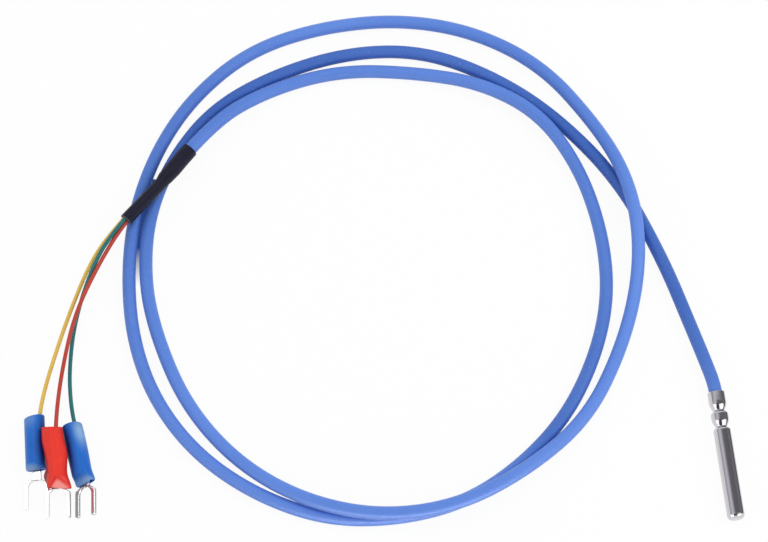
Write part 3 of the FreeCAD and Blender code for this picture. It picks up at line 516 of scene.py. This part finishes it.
def walls_between(work, rows):
    """Faces between each row of points and the next, all the way round."""
    faces = []
    for low, high in zip(rows, rows[1:]):
        count = len(low)
        for i in range(count):
            after = (i + 1) % count
            faces.append(work.faces.new((low[i], low[after], high[after], high[i])))
    return faces


def skin(name, rings, material, looped=False):
    """A smooth piece through rings of points, its ends capped, or joined to each other if it is looped."""
    work = bmesh.new()
    rows = [[work.verts.new(point) for point in ring] for ring in rings]
    if looped:
        rows.append(rows[0])
    else:
        work.faces.new(rows[0])
        work.faces.new(rows[-1])
    walls_between(work, rows)
    bmesh.ops.recalc_face_normals(work, faces=work.faces)
    data = bpy.data.meshes.new(name)
    work.to_mesh(data)
    work.free()
    data.shade_smooth()
    return show_mesh(name, data, material)


polished_steel = metal_finish(
    "polished_steel", (0.66, 0.65, 0.67), (0.6, 0.59, 0.61), 0.11, (5200, 60, 5200), 160, 0.05)
around_sheath = [2 * pi * step / 128 for step in range(128)]
sheath_rings = [
    [
        Vector((radius * cos(turn), place, sheath_radius + radius * sin(turn))) * mm
        for turn in around_sheath
    ]
    for radius, place in sheath_profile()
]
sheath = skin("rolled_sheath", sheath_rings, polished_steel)
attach(sheath, "root")
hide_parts("probe_sheath")

# Cable. Round blue silicone jacket over three cores, pushed into the sheath and gripped by the grooves. It
# is supple and lies in loose turns on the floor, over and under itself, as it came out of a bag.
cable_diameter = 3.1 * mm
mottle_share = 0.12
cable_route = [
    (0.0, 0.013, 0.002),
    (0.0, 0.0166, 0.002),
    (-0.001, 0.0218, 0.0019),
    (-0.0033, 0.032, 0.00165),
    (-0.0073, 0.049, 0.0016),
    (-0.01455, 0.0697, 0.0016),
    (-0.02765, 0.08795, 0.0016),
    (-0.04145, 0.09985, 0.0016),
    (-0.057, 0.1079, 0.0016),
    (-0.0742, 0.1094, 0.0016),
    (-0.092, 0.1057, 0.0016),
    (-0.1075, 0.0986, 0.0016),
    (-0.1184, 0.0868, 0.0016),
    (-0.1253, 0.073, 0.0016),
    (-0.1276, 0.057, 0.0016),
    (-0.1258, 0.0425, 0.0016),
    (-0.1206, 0.0258, 0.0016),
    (-0.1106, 0.0112, 0.0018),
    (-0.0968, 0.0001, 0.0039),
    (-0.08, -0.006, 0.005),
    (-0.062, -0.0056, 0.005),
    (-0.0452, 0.0012, 0.0047),
    (-0.0301, 0.0122, 0.002),
    (-0.0202, 0.0275, 0.0016),
    (-0.0139, 0.043, 0.0018),
    (-0.0119, 0.057, 0.0049),
    (-0.0134, 0.0705, 0.005),
    (-0.0184, 0.0844, 0.0022),
    (-0.0285, 0.1006, 0.0016),
    (-0.0435, 0.1114, 0.0016),
    (-0.061, 0.1167, 0.0016),
    (-0.08, 0.1168, 0.0016),
    (-0.0975, 0.1126, 0.0016),
    (-0.1118, 0.1024, 0.0016),
    (-0.1218, 0.0896, 0.0016),
    (-0.1285, 0.0745, 0.0016),
    (-0.1314, 0.0585, 0.0016),
    (-0.1314, 0.0425, 0.0016),
    (-0.1276, 0.0276, 0.0016),
    (-0.1193, 0.0139, 0.0016),
    (-0.1068, 0.0029, 0.0016),
    (-0.0915, -0.0046, 0.0016),
    (-0.075, -0.0063, 0.0016),
    (-0.0594, -0.0039, 0.0016),
    (-0.0458, 0.0035, 0.0016),
    (-0.0344, 0.0137, 0.0016),
    (-0.0259, 0.0273, 0.0016),
    (-0.021, 0.0415, 0.0016),
    (-0.0203, 0.057, 0.0016),
    (-0.0233, 0.0735, 0.0017),
    (-0.0309, 0.0877, 0.0035),
    (-0.0435, 0.0973, 0.0028),
    (-0.0585, 0.10225, 0.0017),
    (-0.0765, 0.105, 0.0016),
    (-0.0939, 0.1017, 0.0022),
    (-0.109, 0.0935, 0.00445),
    (-0.12028, 0.08068, 0.0051),
]


def lay_cord(name, route, diameter, material):
    """A round cord on one smooth spline along a route, with the points of its centre line."""
    data = bpy.data.curves.new(name, "CURVE")
    data.dimensions = "3D"
    data.resolution_u = 12
    spline = data.splines.new("NURBS")
    spline.points.add(len(route) - 1)
    for point, place in zip(spline.points, route):
        point.co = (*place, 1.0)
    spline.order_u = 3
    spline.use_endpoint_u = True
    cord = bpy.data.objects.new(name, data)
    scene.collection.objects.link(cord)
    line = bpy.data.meshes.new_from_object(cord)
    centre = [vertex.co.copy() for vertex in line.vertices]
    bpy.data.meshes.remove(line)
    data.bevel_depth = diameter / 2
    data.bevel_resolution = 6
    data.use_fill_caps = True
    data.materials.append(material)
    return cord, centre


def paint_light_along(material, stops):
    """Paints light and shade along a cord: each stop is a share of its length and a tone from 0 to 1."""
    tree = material.node_tree
    tone = tree.nodes["tone"].inputs["Factor"]
    mottle = tone.links[0].from_socket
    run = add_node(tree, "ShaderNodeUVMap", uv_map="UVMap")
    parts = add_node(tree, "ShaderNodeSeparateXYZ")
    tree.links.new(run.outputs["UV"], parts.inputs[0])
    ramp = add_node(tree, "ShaderNodeValToRGB")
    fill_ramp(ramp, [(share, (level, level, level)) for share, level in stops])
    tree.links.new(parts.outputs["X"], ramp.inputs[0])
    mixed = add_node(tree, "ShaderNodeMath", operation="MULTIPLY_ADD", use_clamp=True)
    tree.links.new(mottle, mixed.inputs[0])
    mixed.inputs[1].default_value = mottle_share
    tree.links.new(ramp.outputs["Color"], mixed.inputs[2])
    tree.links.new(mixed.outputs[0], tone)


blue_silicone = soft_finish(
    "blue_silicone", (0.112, 0.256, 0.765), (0.018, 0.099, 0.43), (0.36, 0.48, 0.88), 0.6, 0.48,
    (60, 2300, 4200), 0.25, specular=0.35)
blue_silicone.node_tree.nodes["Principled BSDF"].inputs["Sheen Weight"].default_value = 0.15
# Painted light and shade along the cable: darker where a turn lies between two others or beside the shrink
# tube, lighter on the turns at the front. Its deep colour serves as the painted shade, its pale one as the
# light.
paint_light_along(blue_silicone, [
    (0.0, 0.55), (0.03, 0.3), (0.05, 0.15), (0.1, 0.0), (0.13, 0.2), (0.17, 0.05), (0.21, 0.05),
    (0.24, 0.52), (0.28, 0.7), (0.33, 0.72), (0.37, 0.76), (0.44, 0.86), (0.47, 0.68), (0.51, 0.55),
    (0.55, 0.82), (0.59, 0.5), (0.63, 0.42), (0.68, 0.66), (0.73, 0.74), (0.76, 1.0), (0.78, 0.82),
    (0.8, 0.24), (0.83, 0.32), (0.87, 0.55), (0.93, 0.7), (1.0, 0.55)])
cable, cable_line = lay_cord("blue_cable", cable_route, cable_diameter, blue_silicone)
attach(cable, "root")
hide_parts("cable")

# Shrink tube. Black heat-shrink over the jacket's end, drawn in behind it on the three thin wires, whose
# shape shows through as three soft ridges. Both ends are cut square with scissors.
shrink_wide_length = 9.2 * mm
shrink_taper_length = 2.0 * mm
shrink_narrow_length = 11.8 * mm
shrink_wide_radius = 1.9 * mm
shrink_narrow_radius = 1.5 * mm
shrink_wall = 0.3 * mm
shrink_step_skew = 0.7 * mm
shrink_ridges = 3
shrink_ridge_share = 0.03
shrink_sides = 48
straight_steps = 40
narrow_heading = Vector((-0.73985, -0.67253, -0.0181))


def shrink_line():
    """The tube's centre line: the cable's own last stretch, then straight on with the wires."""
    stretch = [cable_line[-1]]
    left = shrink_wide_length
    for point in reversed(cable_line[:-1]):
        step = point - stretch[0]
        stretch.insert(0, stretch[0] + step * min(left / step.length, 1.0))
        left -= step.length
        if left <= 0.0:
            break
    ahead = narrow_heading * (shrink_taper_length + shrink_narrow_length)
    steps = range(1, straight_steps + 1)
    return stretch + [cable_line[-1] + ahead * step / straight_steps for step in steps]


def ease(value):
    """A soft step from 0 to 1."""
    held = min(max(value, 0.0), 1.0)
    return held * held * (3.0 - 2.0 * held)


def shrink_rings(inward):
    """Rings along the tube's outside, or its inside when set inward."""
    line = shrink_line()
    rings = []
    run = 0.0
    for i, middle in enumerate(line):
        before = line[max(i - 1, 0)]
        after = line[min(i + 1, len(line) - 1)]
        heading = (after - before).normalized()
        side = heading.cross(Vector((0, 0, 1))).normalized()
        rise = side.cross(heading)
        run += (middle - before).length
        ring = []
        for step in range(shrink_sides):
            turn = 2 * pi * step / shrink_sides
            ahead = shrink_step_skew * (1.0 - cos(turn))
            drawn = ease((run - shrink_wide_length + ahead) / shrink_taper_length)
            radius = shrink_wide_radius + (shrink_narrow_radius - shrink_wide_radius) * drawn
            ridge = 1.0 + shrink_ridge_share * drawn * cos(shrink_ridges * (turn - pi / 2))
            reach = radius * ridge - inward
            ring.append(middle + side * (reach * cos(turn)) + rise * (reach * sin(turn)))
        rings.append(ring)
    return rings


def paint_light_by_mesh(material, shaded, painted_highlight):
    """Paints shade in one colour and highlight in another into a finish, by the mesh's tone from -1 to 1."""
    tree = material.node_tree
    base = tree.nodes["Principled BSDF"].inputs["Base Color"]
    colour = base.links[0].from_socket
    tone = add_node(tree, "ShaderNodeAttribute", attribute_name="tone")
    for goal, full in ((shaded, -1.0), (painted_highlight, 1.0)):
        colour = mix_colours(tree, map_range(tree, tone.outputs["Fac"], 0.0, full), colour, goal)
    tree.links.new(colour, base)


black_shrink = soft_finish(
    "black_shrink", (0.006, 0.006, 0.024), (0.004, 0.004, 0.018), (0.06, 0.06, 0.09), 0.25, 0.44,
    (260, 1800, 5200), 0.4, specular=0.2)
# Its pale colour is a painted highlight, laid on the tube's cut rim at the wires' end below.
paint_light_by_mesh(black_shrink, (0.002, 0.002, 0.006), (0.1, 0.1, 0.13))
outside = shrink_rings(0.0)
inside = shrink_rings(shrink_wall)[::-1]
shrink = skin("black_shrink_tube", outside + inside, black_shrink, looped=True)
edge = len(outside) - 1
painted_light_tones = [1.0 if row in (edge, edge + 1) else 0.0 for row in range(2 * len(outside)) for step in outside[0]]
shrink.data.attributes.new("tone", "FLOAT", "POINT").data.foreach_set("value", painted_light_tones)
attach(shrink, "root")
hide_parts("shrink_tube")

# Wires. Three thin insulated wires, yellow, red and green, come out of the shrink tube side by side and part
# on their way to the terminals. Red crosses over green.
wire_diameter = 0.95 * mm
wire_routes = {
    "yellow": [
        (-0.12091, 0.08107, 0.00478),
        (-0.12587, 0.07648, 0.00469),
        (-0.13241, 0.07054, 0.00453),
        (-0.1392, 0.0639, 0.0019),
        (-0.1456, 0.0513, 0.0008),
        (-0.1504, 0.0395, 0.0008),
        (-0.1533, 0.0309, 0.0016),
        (-0.15464, 0.02332, 0.00235),
        (-0.15545, 0.02027, 0.00218),
    ],
    "red": [
        (-0.12018, 0.08027, 0.00478),
        (-0.12522, 0.07576, 0.00469),
        (-0.13176, 0.06982, 0.00453),
        (-0.1387, 0.06, 0.0035),
        (-0.1443, 0.0496, 0.0033),
        (-0.1478, 0.0376, 0.0036),
        (-0.1497, 0.0282, 0.0043),
        (-0.15055, 0.02101, 0.00465),
        (-0.15106, 0.01712, 0.00448),
    ],
    "green": [
        (-0.12056, 0.08066, 0.00572),
        (-0.12556, 0.07611, 0.00553),
        (-0.1321, 0.07017, 0.00537),
        (-0.1384, 0.0628, 0.0038),
        (-0.1442, 0.0502, 0.001),
        (-0.1466, 0.038, 0.0008),
        (-0.1468, 0.0283, 0.0018),
        (-0.14577, 0.02135, 0.0029),
        (-0.14577, 0.01723, 0.00273),
    ],
}
wire_colours = {
    "yellow": [(0.84, 0.56, 0.1), (0.76, 0.48, 0.08), (0.9, 0.74, 0.38)],
    "red": [(0.52, 0.038, 0.017), (0.45, 0.029, 0.013), (0.7, 0.24, 0.18)],
    "green": [(0.003, 0.165, 0.163), (0.002, 0.133, 0.132), (0.16, 0.42, 0.41)],
}
for colour, route in wire_routes.items():
    insulation = soft_finish(
        colour + "_insulation", *wire_colours[colour], 0.3, 0.36, (220, 2200, 6000), 0.15)
    wire, wire_line = lay_cord(colour + "_lead", route, wire_diameter, insulation)
    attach(wire, "root")
    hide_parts(colour + "_wire")
    dress(colour + "_probe_core", insulation)

# Strand ends. Seven fine copper strands, twisted, are bared at the end of each wire. They go into the
# terminal's barrel, where the crimp holds them.
strand_radius = 0.16 * mm
strand_length = 5.0 * mm
strand_nose = -0.2 * mm
barrel_height = -0.1722 * mm


def tube_along(tree, line, section):
    """A capped tube of one section along a line, as geometry."""
    made = add_node(tree, "GeometryNodeCurveToMesh")
    made.inputs["Fill Caps"].default_value = True
    tree.links.new(line.outputs["Curve"], made.inputs["Curve"])
    tree.links.new(section.outputs["Curve"], made.inputs["Profile Curve"])
    return made.outputs["Mesh"]


def strand_tree():
    """Strands wound round a straight one, each a tube on a slow spiral."""
    tree = bpy.data.node_groups.new("twisted_strands", "GeometryNodeTree")
    add_sockets(tree, "INPUT", "NodeSocketInt", "Outer Strands")
    add_sockets(tree, "INPUT", "NodeSocketFloat", "Strand Radius", "Length", "Turns")
    add_sockets(tree, "INPUT", "NodeSocketMaterial", "Finish")
    add_sockets(tree, "OUTPUT", "NodeSocketGeometry", "Strands")
    entry = add_node(tree, "NodeGroupInput").outputs
    leave = add_node(tree, "NodeGroupOutput").inputs
    link = tree.links.new
    lay = add_node(tree, "ShaderNodeMath", operation="MULTIPLY")
    link(entry["Strand Radius"], lay.inputs[0])
    lay.inputs[1].default_value = 2.0
    spiral = add_node(tree, "GeometryNodeCurveSpiral")
    spiral.inputs["Resolution"].default_value = 40
    link(entry["Turns"], spiral.inputs["Rotations"])
    link(lay.outputs[0], spiral.inputs["Start Radius"])
    link(lay.outputs[0], spiral.inputs["End Radius"])
    link(entry["Length"], spiral.inputs["Height"])
    round_wire = add_node(tree, "GeometryNodeCurvePrimitiveCircle")
    round_wire.inputs["Resolution"].default_value = 10
    link(entry["Strand Radius"], round_wire.inputs["Radius"])
    spots = add_node(tree, "GeometryNodePoints")
    link(entry["Outer Strands"], spots.inputs["Count"])
    part_turn = add_node(tree, "ShaderNodeMath", operation="DIVIDE")
    part_turn.inputs[0].default_value = 2 * pi
    link(entry["Outer Strands"], part_turn.inputs[1])
    number = add_node(tree, "GeometryNodeInputIndex")
    angle = add_node(tree, "ShaderNodeMath", operation="MULTIPLY")
    link(number.outputs["Index"], angle.inputs[0])
    link(part_turn.outputs[0], angle.inputs[1])
    about_z = add_node(tree, "ShaderNodeCombineXYZ")
    link(angle.outputs[0], about_z.inputs["Z"])
    repeat = add_node(tree, "GeometryNodeInstanceOnPoints")
    link(spots.outputs[0], repeat.inputs["Points"])
    link(tube_along(tree, spiral, round_wire), repeat.inputs["Instance"])
    link(about_z.outputs["Vector"], repeat.inputs["Rotation"])
    top = add_node(tree, "ShaderNodeCombineXYZ")
    link(entry["Length"], top.inputs["Z"])
    straight = add_node(tree, "GeometryNodeCurvePrimitiveLine")
    link(top.outputs["Vector"], straight.inputs["End"])
    together = add_node(tree, "GeometryNodeJoinGeometry")
    link(repeat.outputs["Instances"], together.inputs["Geometry"])
    link(tube_along(tree, straight, round_wire), together.inputs["Geometry"])
    real = add_node(tree, "GeometryNodeRealizeInstances")
    link(together.outputs["Geometry"], real.inputs["Geometry"])
    finish = add_node(tree, "GeometryNodeSetMaterial")
    link(real.outputs["Geometry"], finish.inputs["Geometry"])
    link(entry["Finish"], finish.inputs["Material"])
    link(finish.outputs["Geometry"], leave["Strands"])
    return tree


def lie(x, y, lift, turn, roll, tilt):
    """How a terminal lies: the front of its barrel, on the sleeve's axis, turned, rolled and tilted."""
    turned = Matrix.Rotation(radians(turn), 4, "Z")
    rolled = Matrix.Rotation(radians(roll), 4, "Y")
    tilted = Matrix.Rotation(radians(tilt), 4, "X")
    return Matrix.Translation(Vector((x, y, lift)) * mm) @ turned @ rolled @ tilted


terminal_lies = {
    "yellow": lie(-155.633, 14.95, 2.35, -2.0, 0.0, 0.0),
    "red": lie(-150.93, 11.8, 4.653, 1.4, 0.0, 0.0),
    "green": lie(-145.386, 11.95, 3.277, 8.5, -36.0, -5.5),
}
strands_tree = strand_tree()
strand_values = {
    "Outer Strands": 6,
    "Strand Radius": strand_radius,
    "Length": strand_length,
    "Turns": 0.6,
    "Finish": bare_copper,
}


def strand_bundle(name, place):
    """One twisted end as a plain mesh, from the tree, laid along the barrel."""
    bundle = bpy.data.objects.new(name, bpy.data.meshes.new(name))
    scene.collection.objects.link(bundle)
    modifier = bundle.modifiers.new("strands", "NODES")
    modifier.node_group = strands_tree
    for socket in strands_tree.interface.items_tree:
        if socket.in_out == "INPUT":
            modifier[socket.identifier] = strand_values[socket.name]
    settled = bundle.evaluated_get(bpy.context.evaluated_depsgraph_get())
    made = bpy.data.meshes.new_from_object(settled)
    bundle.modifiers.remove(modifier)
    bundle.data = made
    lengthwise = Matrix.Rotation(-pi / 2, 4, "X")
    made.transform(place @ Matrix.Translation((0, -strand_nose, barrel_height)) @ lengthwise)
    made.shade_smooth()
    return bundle


for colour, place in terminal_lies.items():
    bundle = strand_bundle(colour + "_strands", place)
    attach(bundle, "root")
    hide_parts(colour + "_wire_copper")

# Fork terminals. Stamped from copper strip and tin-plated: a flat tongue with a round-ended screw slot.
# Behind it a barrel is rolled from the same strip, its seam along the top, and crimped on the strands.
fork_sheet = 0.8
tongue_middle = -1.0722
barrel_radius = 1.3
barrel_bore = 0.5
barrel_length = 5.0
barrel_edge = 0.08
barrel_sides = 40
barrel_seam = radians(4.0)
neck_root_half = 0.91
neck_half = 1.1
neck_lap = 1.0
bend_place = -1.0
bend_run = 0.6
shoulder_start = -2.75
shoulder_end = -3.65
shoulder_width = 0.75
shoulder_slope = 0.28
corner_width = 0.08
corner_slope = 0.05
corner_run = 0.6
fork_half = 2.95
fork_tip = -9.8
prong_end_run = 1.2
prong_rounding = 0.5
slot_half = 1.85
slot_round = -4.85
rim_angle = 1.2
rim_bevel = 0.26
crease_angle = radians(50)
fork_swings = {"yellow": -1.8, "red": -5.2, "green": -12.3}


def fork_outline():
    """The tongue's outline from above, anticlockwise from the right of its root."""
    right = [(neck_root_half, neck_lap), (neck_half, bend_place), (neck_half, shoulder_start)]
    right.append((neck_half + shoulder_width, shoulder_start - shoulder_slope))
    right.append((fork_half - corner_width, shoulder_end - corner_slope))
    right += [(fork_half, shoulder_end - corner_run), (fork_half, fork_tip + prong_end_run)]
    middle = (fork_half + slot_half) / 2
    half = (fork_half - slot_half) / 2
    for step in range(9):
        turn = pi * step / 8
        end = fork_tip + prong_rounding - prong_rounding * sin(turn)
        right.append((middle + half * cos(turn), end))
    right.append((slot_half, fork_tip + prong_end_run))
    for step in range(10):
        turn = pi / 2 * step / 10
        right.append((slot_half * cos(turn), slot_round + slot_half * sin(turn)))
    top = [(0.0, slot_round + slot_half)]
    left = [(-x, y) for x, y in reversed(right)]
    return right + top + left


def swung(x, y, swing):
    """A point of the tongue after its blade is bent sideways at the neck."""
    ahead = min(y - bend_place, 0.0)
    turn = radians(swing) * min(-ahead / bend_run, 1.0)
    if y >= bend_place:
        return x, y
    return (
        x * cos(turn) - ahead * sin(turn),
        bend_place + x * sin(turn) + ahead * cos(turn),
    )


def rolled_barrel(work):
    """The barrel, rolled up from below to a seam on top, its ends a little broken."""
    height = tongue_middle - fork_sheet / 2 + barrel_radius
    first = pi / 2 + barrel_seam
    whole = 2 * pi - 2 * barrel_seam
    turns = [first + whole * step / barrel_sides for step in range(barrel_sides + 1)]
    ends = ((0.0, barrel_edge), (barrel_edge, 0.0))
    ends += ((barrel_length - barrel_edge, 0.0), (barrel_length, barrel_edge))
    sections = []
    for y, trim in ends:
        wall = [(barrel_radius - trim, turn) for turn in turns]
        wall += [(barrel_bore + trim, turn) for turn in reversed(turns)]
        points = [(reach * cos(turn), y, height + reach * sin(turn)) for reach, turn in wall]
        sections.append([work.verts.new(point) for point in points])
    rolled = [work.faces.new(sections[0]), work.faces.new(sections[-1])]
    rolled += walls_between(work, sections)
    bmesh.ops.recalc_face_normals(work, faces=rolled)


def fork_mesh(name, place, swing):
    """Tongue and rolled barrel with softly broken edges."""
    work = bmesh.new()
    outline = [swung(x, y, swing) for x, y in fork_outline()]
    base = [work.verts.new((x, y, tongue_middle - fork_sheet / 2)) for x, y in outline]
    plate = work.faces.new(base)
    raised = bmesh.ops.extrude_face_region(work, geom=[plate])
    upper = [item for item in raised["geom"] if isinstance(item, bmesh.types.BMVert)]
    bmesh.ops.translate(work, verts=upper, vec=(0, 0, fork_sheet))
    bmesh.ops.recalc_face_normals(work, faces=work.faces)
    shared = [edge for edge in work.edges if len(edge.link_faces) == 2]
    rims = [edge for edge in shared if edge.calc_face_angle() > rim_angle]
    bmesh.ops.bevel(work, geom=rims, offset=rim_bevel, segments=4, profile=0.5, affect="EDGES")
    rolled_barrel(work)
    data = bpy.data.meshes.new(name)
    work.to_mesh(data)
    work.free()
    data.transform(place @ Matrix.Scale(mm, 4))
    data.shade_smooth()
    data.set_sharp_from_angle(angle=crease_angle)
    return show_mesh(name, data, tin_plate)


for colour, place in terminal_lies.items():
    fork = fork_mesh(colour + "_fork_terminal", place, fork_swings[colour])
    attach(fork, "root")
    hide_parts(colour + "_fork")

# Sleeves. Soft vinyl tubes pushed over the barrels, blue, red and blue, cut from a length of tube by hand.
# Their fronts are pinched flat on the tongues: widest on the red one, where the fold has a painted highlight
# and its left crease painted shade, and least on the yellow wire's. The sleeves carry painted shade where
# they face a neighbour, and painted highlights on the green one's top and the blue ones' front rims.
sleeve_radius = 2.35
sleeve_wall = 0.5
sleeve_lip = 0.12
sleeve_sides = 96
sleeve_steps = 70
flat_half_width = 2.78
flat_top = -0.1
flat_shoulder = 0.05
fold_corner = 0.35
fold_hollow = 0.15
lean_start = 2.0
lean_run = 10.0
# Painted shade in the fold's left crease, and the painted highlight over the fold.
crease_width = 0.2
crease_share = 0.5
pale_margin = 0.3
pale_run = 1.4
pale_pinch = 0.5


def pinch_at(y, cut):
    """How far a sleeve is pinched flat at a place along it, from 1 at its front to 0 where the fold ends."""
    return min(max(1.0 - (y - cut["front"]) / cut["fold"], 0.0), 1.0) * cut["flattened"]


def fold_half_width(y, cut):
    """Half the width of the flat triangle that the pinch folds into a sleeve's top."""
    return pinch_at(y, cut) * (flat_half_width - fold_corner)


def sleeve_point(turn, y, inward, cut):
    """One point of a sleeve's wall: round behind, and pinched flat towards the front."""
    pinch = pinch_at(y, cut)
    eased = ease(1.0 - (y - cut["front"]) / cut["flare"]) * cut["flattened"]
    half_width = sleeve_radius + (flat_half_width - sleeve_radius) * eased * cut["widened"] - inward
    across = half_width * cos(turn)
    middle = tongue_middle * eased
    if sin(turn) < 0:
        height = middle + (sleeve_radius + middle - inward) * sin(turn)
    else:
        flat = min(fold_half_width(y, cut), half_width - flat_shoulder)
        sunk = pinch * (1.0 + fold_hollow - fold_hollow * pinch)
        top = sleeve_radius + (flat_top - sleeve_radius) * sunk - inward
        beyond = max(abs(across) - flat, 0.0) / (half_width - flat)
        height = middle + (top - middle) * sqrt(max(1.0 - beyond * beyond, 0.0))
    back = max(y - lean_start, 0.0) / lean_run
    aside, up = cut["lean"]
    return Vector((across + cut["sideways"] * eased + aside * back * back, y, height + up * back * back))


def patches_at(turn, y, patches):
    """The sum of soft patches at a place on a tube: each is turn, place, amount and the two spans."""
    total = 0.0
    for middle_turn, middle_y, amount, turn_span, y_span in patches:
        away = radians(middle_turn) - turn
        away = atan2(sin(away), cos(away)) / radians(turn_span)
        total += amount * exp(-away * away - ((y - middle_y) / y_span) ** 2)
    return total


def fold_painted_light(turn, y, cut):
    """A painted highlight over the fold, and painted shade in its left crease."""
    pinch = pinch_at(y, cut)
    if sin(turn) < 0 or pinch == 0.0:
        return 0.0
    inside = fold_half_width(y, cut) - abs(flat_half_width * cos(turn))
    crease = exp(-(inside / crease_width) ** 2) if cos(turn) < 0 else 0.0
    pale = ease((inside + pale_margin) / pale_run) * ease(pinch / pale_pinch)
    return cut["fold_highlight"] * (pale - crease_share * crease)


def sleeve_mesh(name, place, cut, material):
    """A sleeve as a closed wall: along the outside from front to back, then back along the inside."""
    rings = []
    painted_light_tones = []
    turns = [2 * pi * (step + 0.5) / sleeve_sides for step in range(sleeve_sides)]
    there = range(sleeve_steps + 1)
    for inward, order in ((0.0, there), (sleeve_wall, there[::-1])):
        for step in order:
            lip = sleeve_lip if step in (0, sleeve_steps) and inward == 0.0 else 0.0
            ring = []
            for turn in turns:
                start = cut["front"] + cut["front_slant"] * cos(turn)
                start += cut["overhang"] * (1.0 - sin(turn)) / 2
                end = cut["front"] + cut["length"] + cut["back_slant"] * cos(turn)
                end -= cut["back_dip"] * max(sin(turn), 0.0)
                y = start + (end - start) * step / sleeve_steps
                swell = patches_at(turn, y, cut["swells"])
                point = sleeve_point(turn, y, inward + lip, cut)
                ring.append(point + Vector((cos(turn) * swell, 0.0, 0.0)))
                painted_light_tones.append(patches_at(turn, y, cut["painted_light_tones"]) + fold_painted_light(turn, y, cut))
            rings.append(ring)
    sleeve = skin(name, rings, material, looped=True)
    sleeve.data.attributes.new("tone", "FLOAT", "POINT").data.foreach_set("value", painted_light_tones)
    sleeve.data.transform(place @ Matrix.Scale(mm, 4))
    return sleeve


blue_vinyl = soft_finish(
    "blue_vinyl", (0.01, 0.142, 0.57), (0.007, 0.118, 0.5), (0.16, 0.32, 0.7), 0.3, 0.36,
    (160, 1400, 3600), 0.3, specular=0.2)
# Painted shade and painted highlight of the blue sleeves.
paint_light_by_mesh(blue_vinyl, (0.007, 0.022, 0.18), (0.25, 0.42, 0.66))
red_vinyl = soft_finish(
    "red_vinyl", (0.82, 0.03, 0.013), (0.74, 0.024, 0.01), (0.9, 0.22, 0.16), 0.3, 0.4,
    (160, 1400, 3600), 0.3, specular=0.25)
# Painted shade and painted highlight of the red sleeve.
paint_light_by_mesh(red_vinyl, (0.26, 0.008, 0.01), (0.95, 0.3, 0.27))
plain_cut = {
    "fold": 2.1, "flare": 3.6, "widened": 0.0, "flattened": 1.0, "fold_highlight": 0.0, "sideways": 0.0,
    "lean": (0.0, 0.0), "front_slant": 0.0, "overhang": 0.0, "back_slant": 0.0, "back_dip": 0.0,
    "swells": [],
}
# Each cut's tones are soft patches of painted light: painted shade below 0, where a sleeve faces its
# neighbour or the red one's front lobe lies low, and painted highlight above 0, on tops and front rims.
sleeve_cuts = {
    "yellow": plain_cut | {
        "front": -0.65, "length": 12.3, "fold": 0.65, "flare": 0.65, "flattened": 0.9, "front_slant": 0.05,
        "overhang": 0.2, "back_slant": 0.35,
        "painted_light_tones": [(20, 5.0, -1.6, 45, 5.5), (120, 11.0, 0.4, 60, 2.0), (175, 5.0, 0.2, 40, 8.0),
                  (120, -0.5, 0.75, 65, 0.6)],
    },
    "red": plain_cut | {
        "front": -3.0, "length": 14.4, "widened": 1.0, "fold_highlight": 1.0, "sideways": 0.18,
        "front_slant": -0.45, "overhang": 0.4, "back_slant": -0.25, "back_dip": 0.55,
        "swells": [(5, 4.8, 0.54, 55, 3.0), (180, 8.6, 0.2, 45, 2.0), (160, 2.5, -0.45, 40, 3.0),
                   (208, 0.3, 1.0, 28, 1.5)],
        "painted_light_tones": [(195, 0.3, -1.6, 38, 2.0), (-10, 4.0, -0.35, 25, 8.0), (190, 6.0, -0.3, 25, 6.0)],
    },
    "green": plain_cut | {
        "front": -2.4, "length": 14.25, "widened": 0.35, "lean": (-0.32, 0.24),
        "front_slant": 0.1, "overhang": 0.3, "back_slant": 0.1, "swells": [(144, 6.0, 0.4, 45, 3.5)],
        "painted_light_tones": [(129, 6.5, -1.6, 45, 6.0), (14, 9.4, 1.0, 36, 3.0), (150, -2.2, 0.7, 60, 1.5),
                  (50, -2.2, 0.75, 55, 0.8)],
    },
}
blue_dressing = (blue_vinyl, "sleeve_blue")
sleeve_dressings = {"yellow": blue_dressing, "red": (red_vinyl, "sleeve_red"), "green": blue_dressing}
for colour, (material, slot) in sleeve_dressings.items():
    sleeve = sleeve_mesh(colour + "_soft_sleeve", terminal_lies[colour], sleeve_cuts[colour], material)
    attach(sleeve, "root")
    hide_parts(colour + "_fork_sleeve")
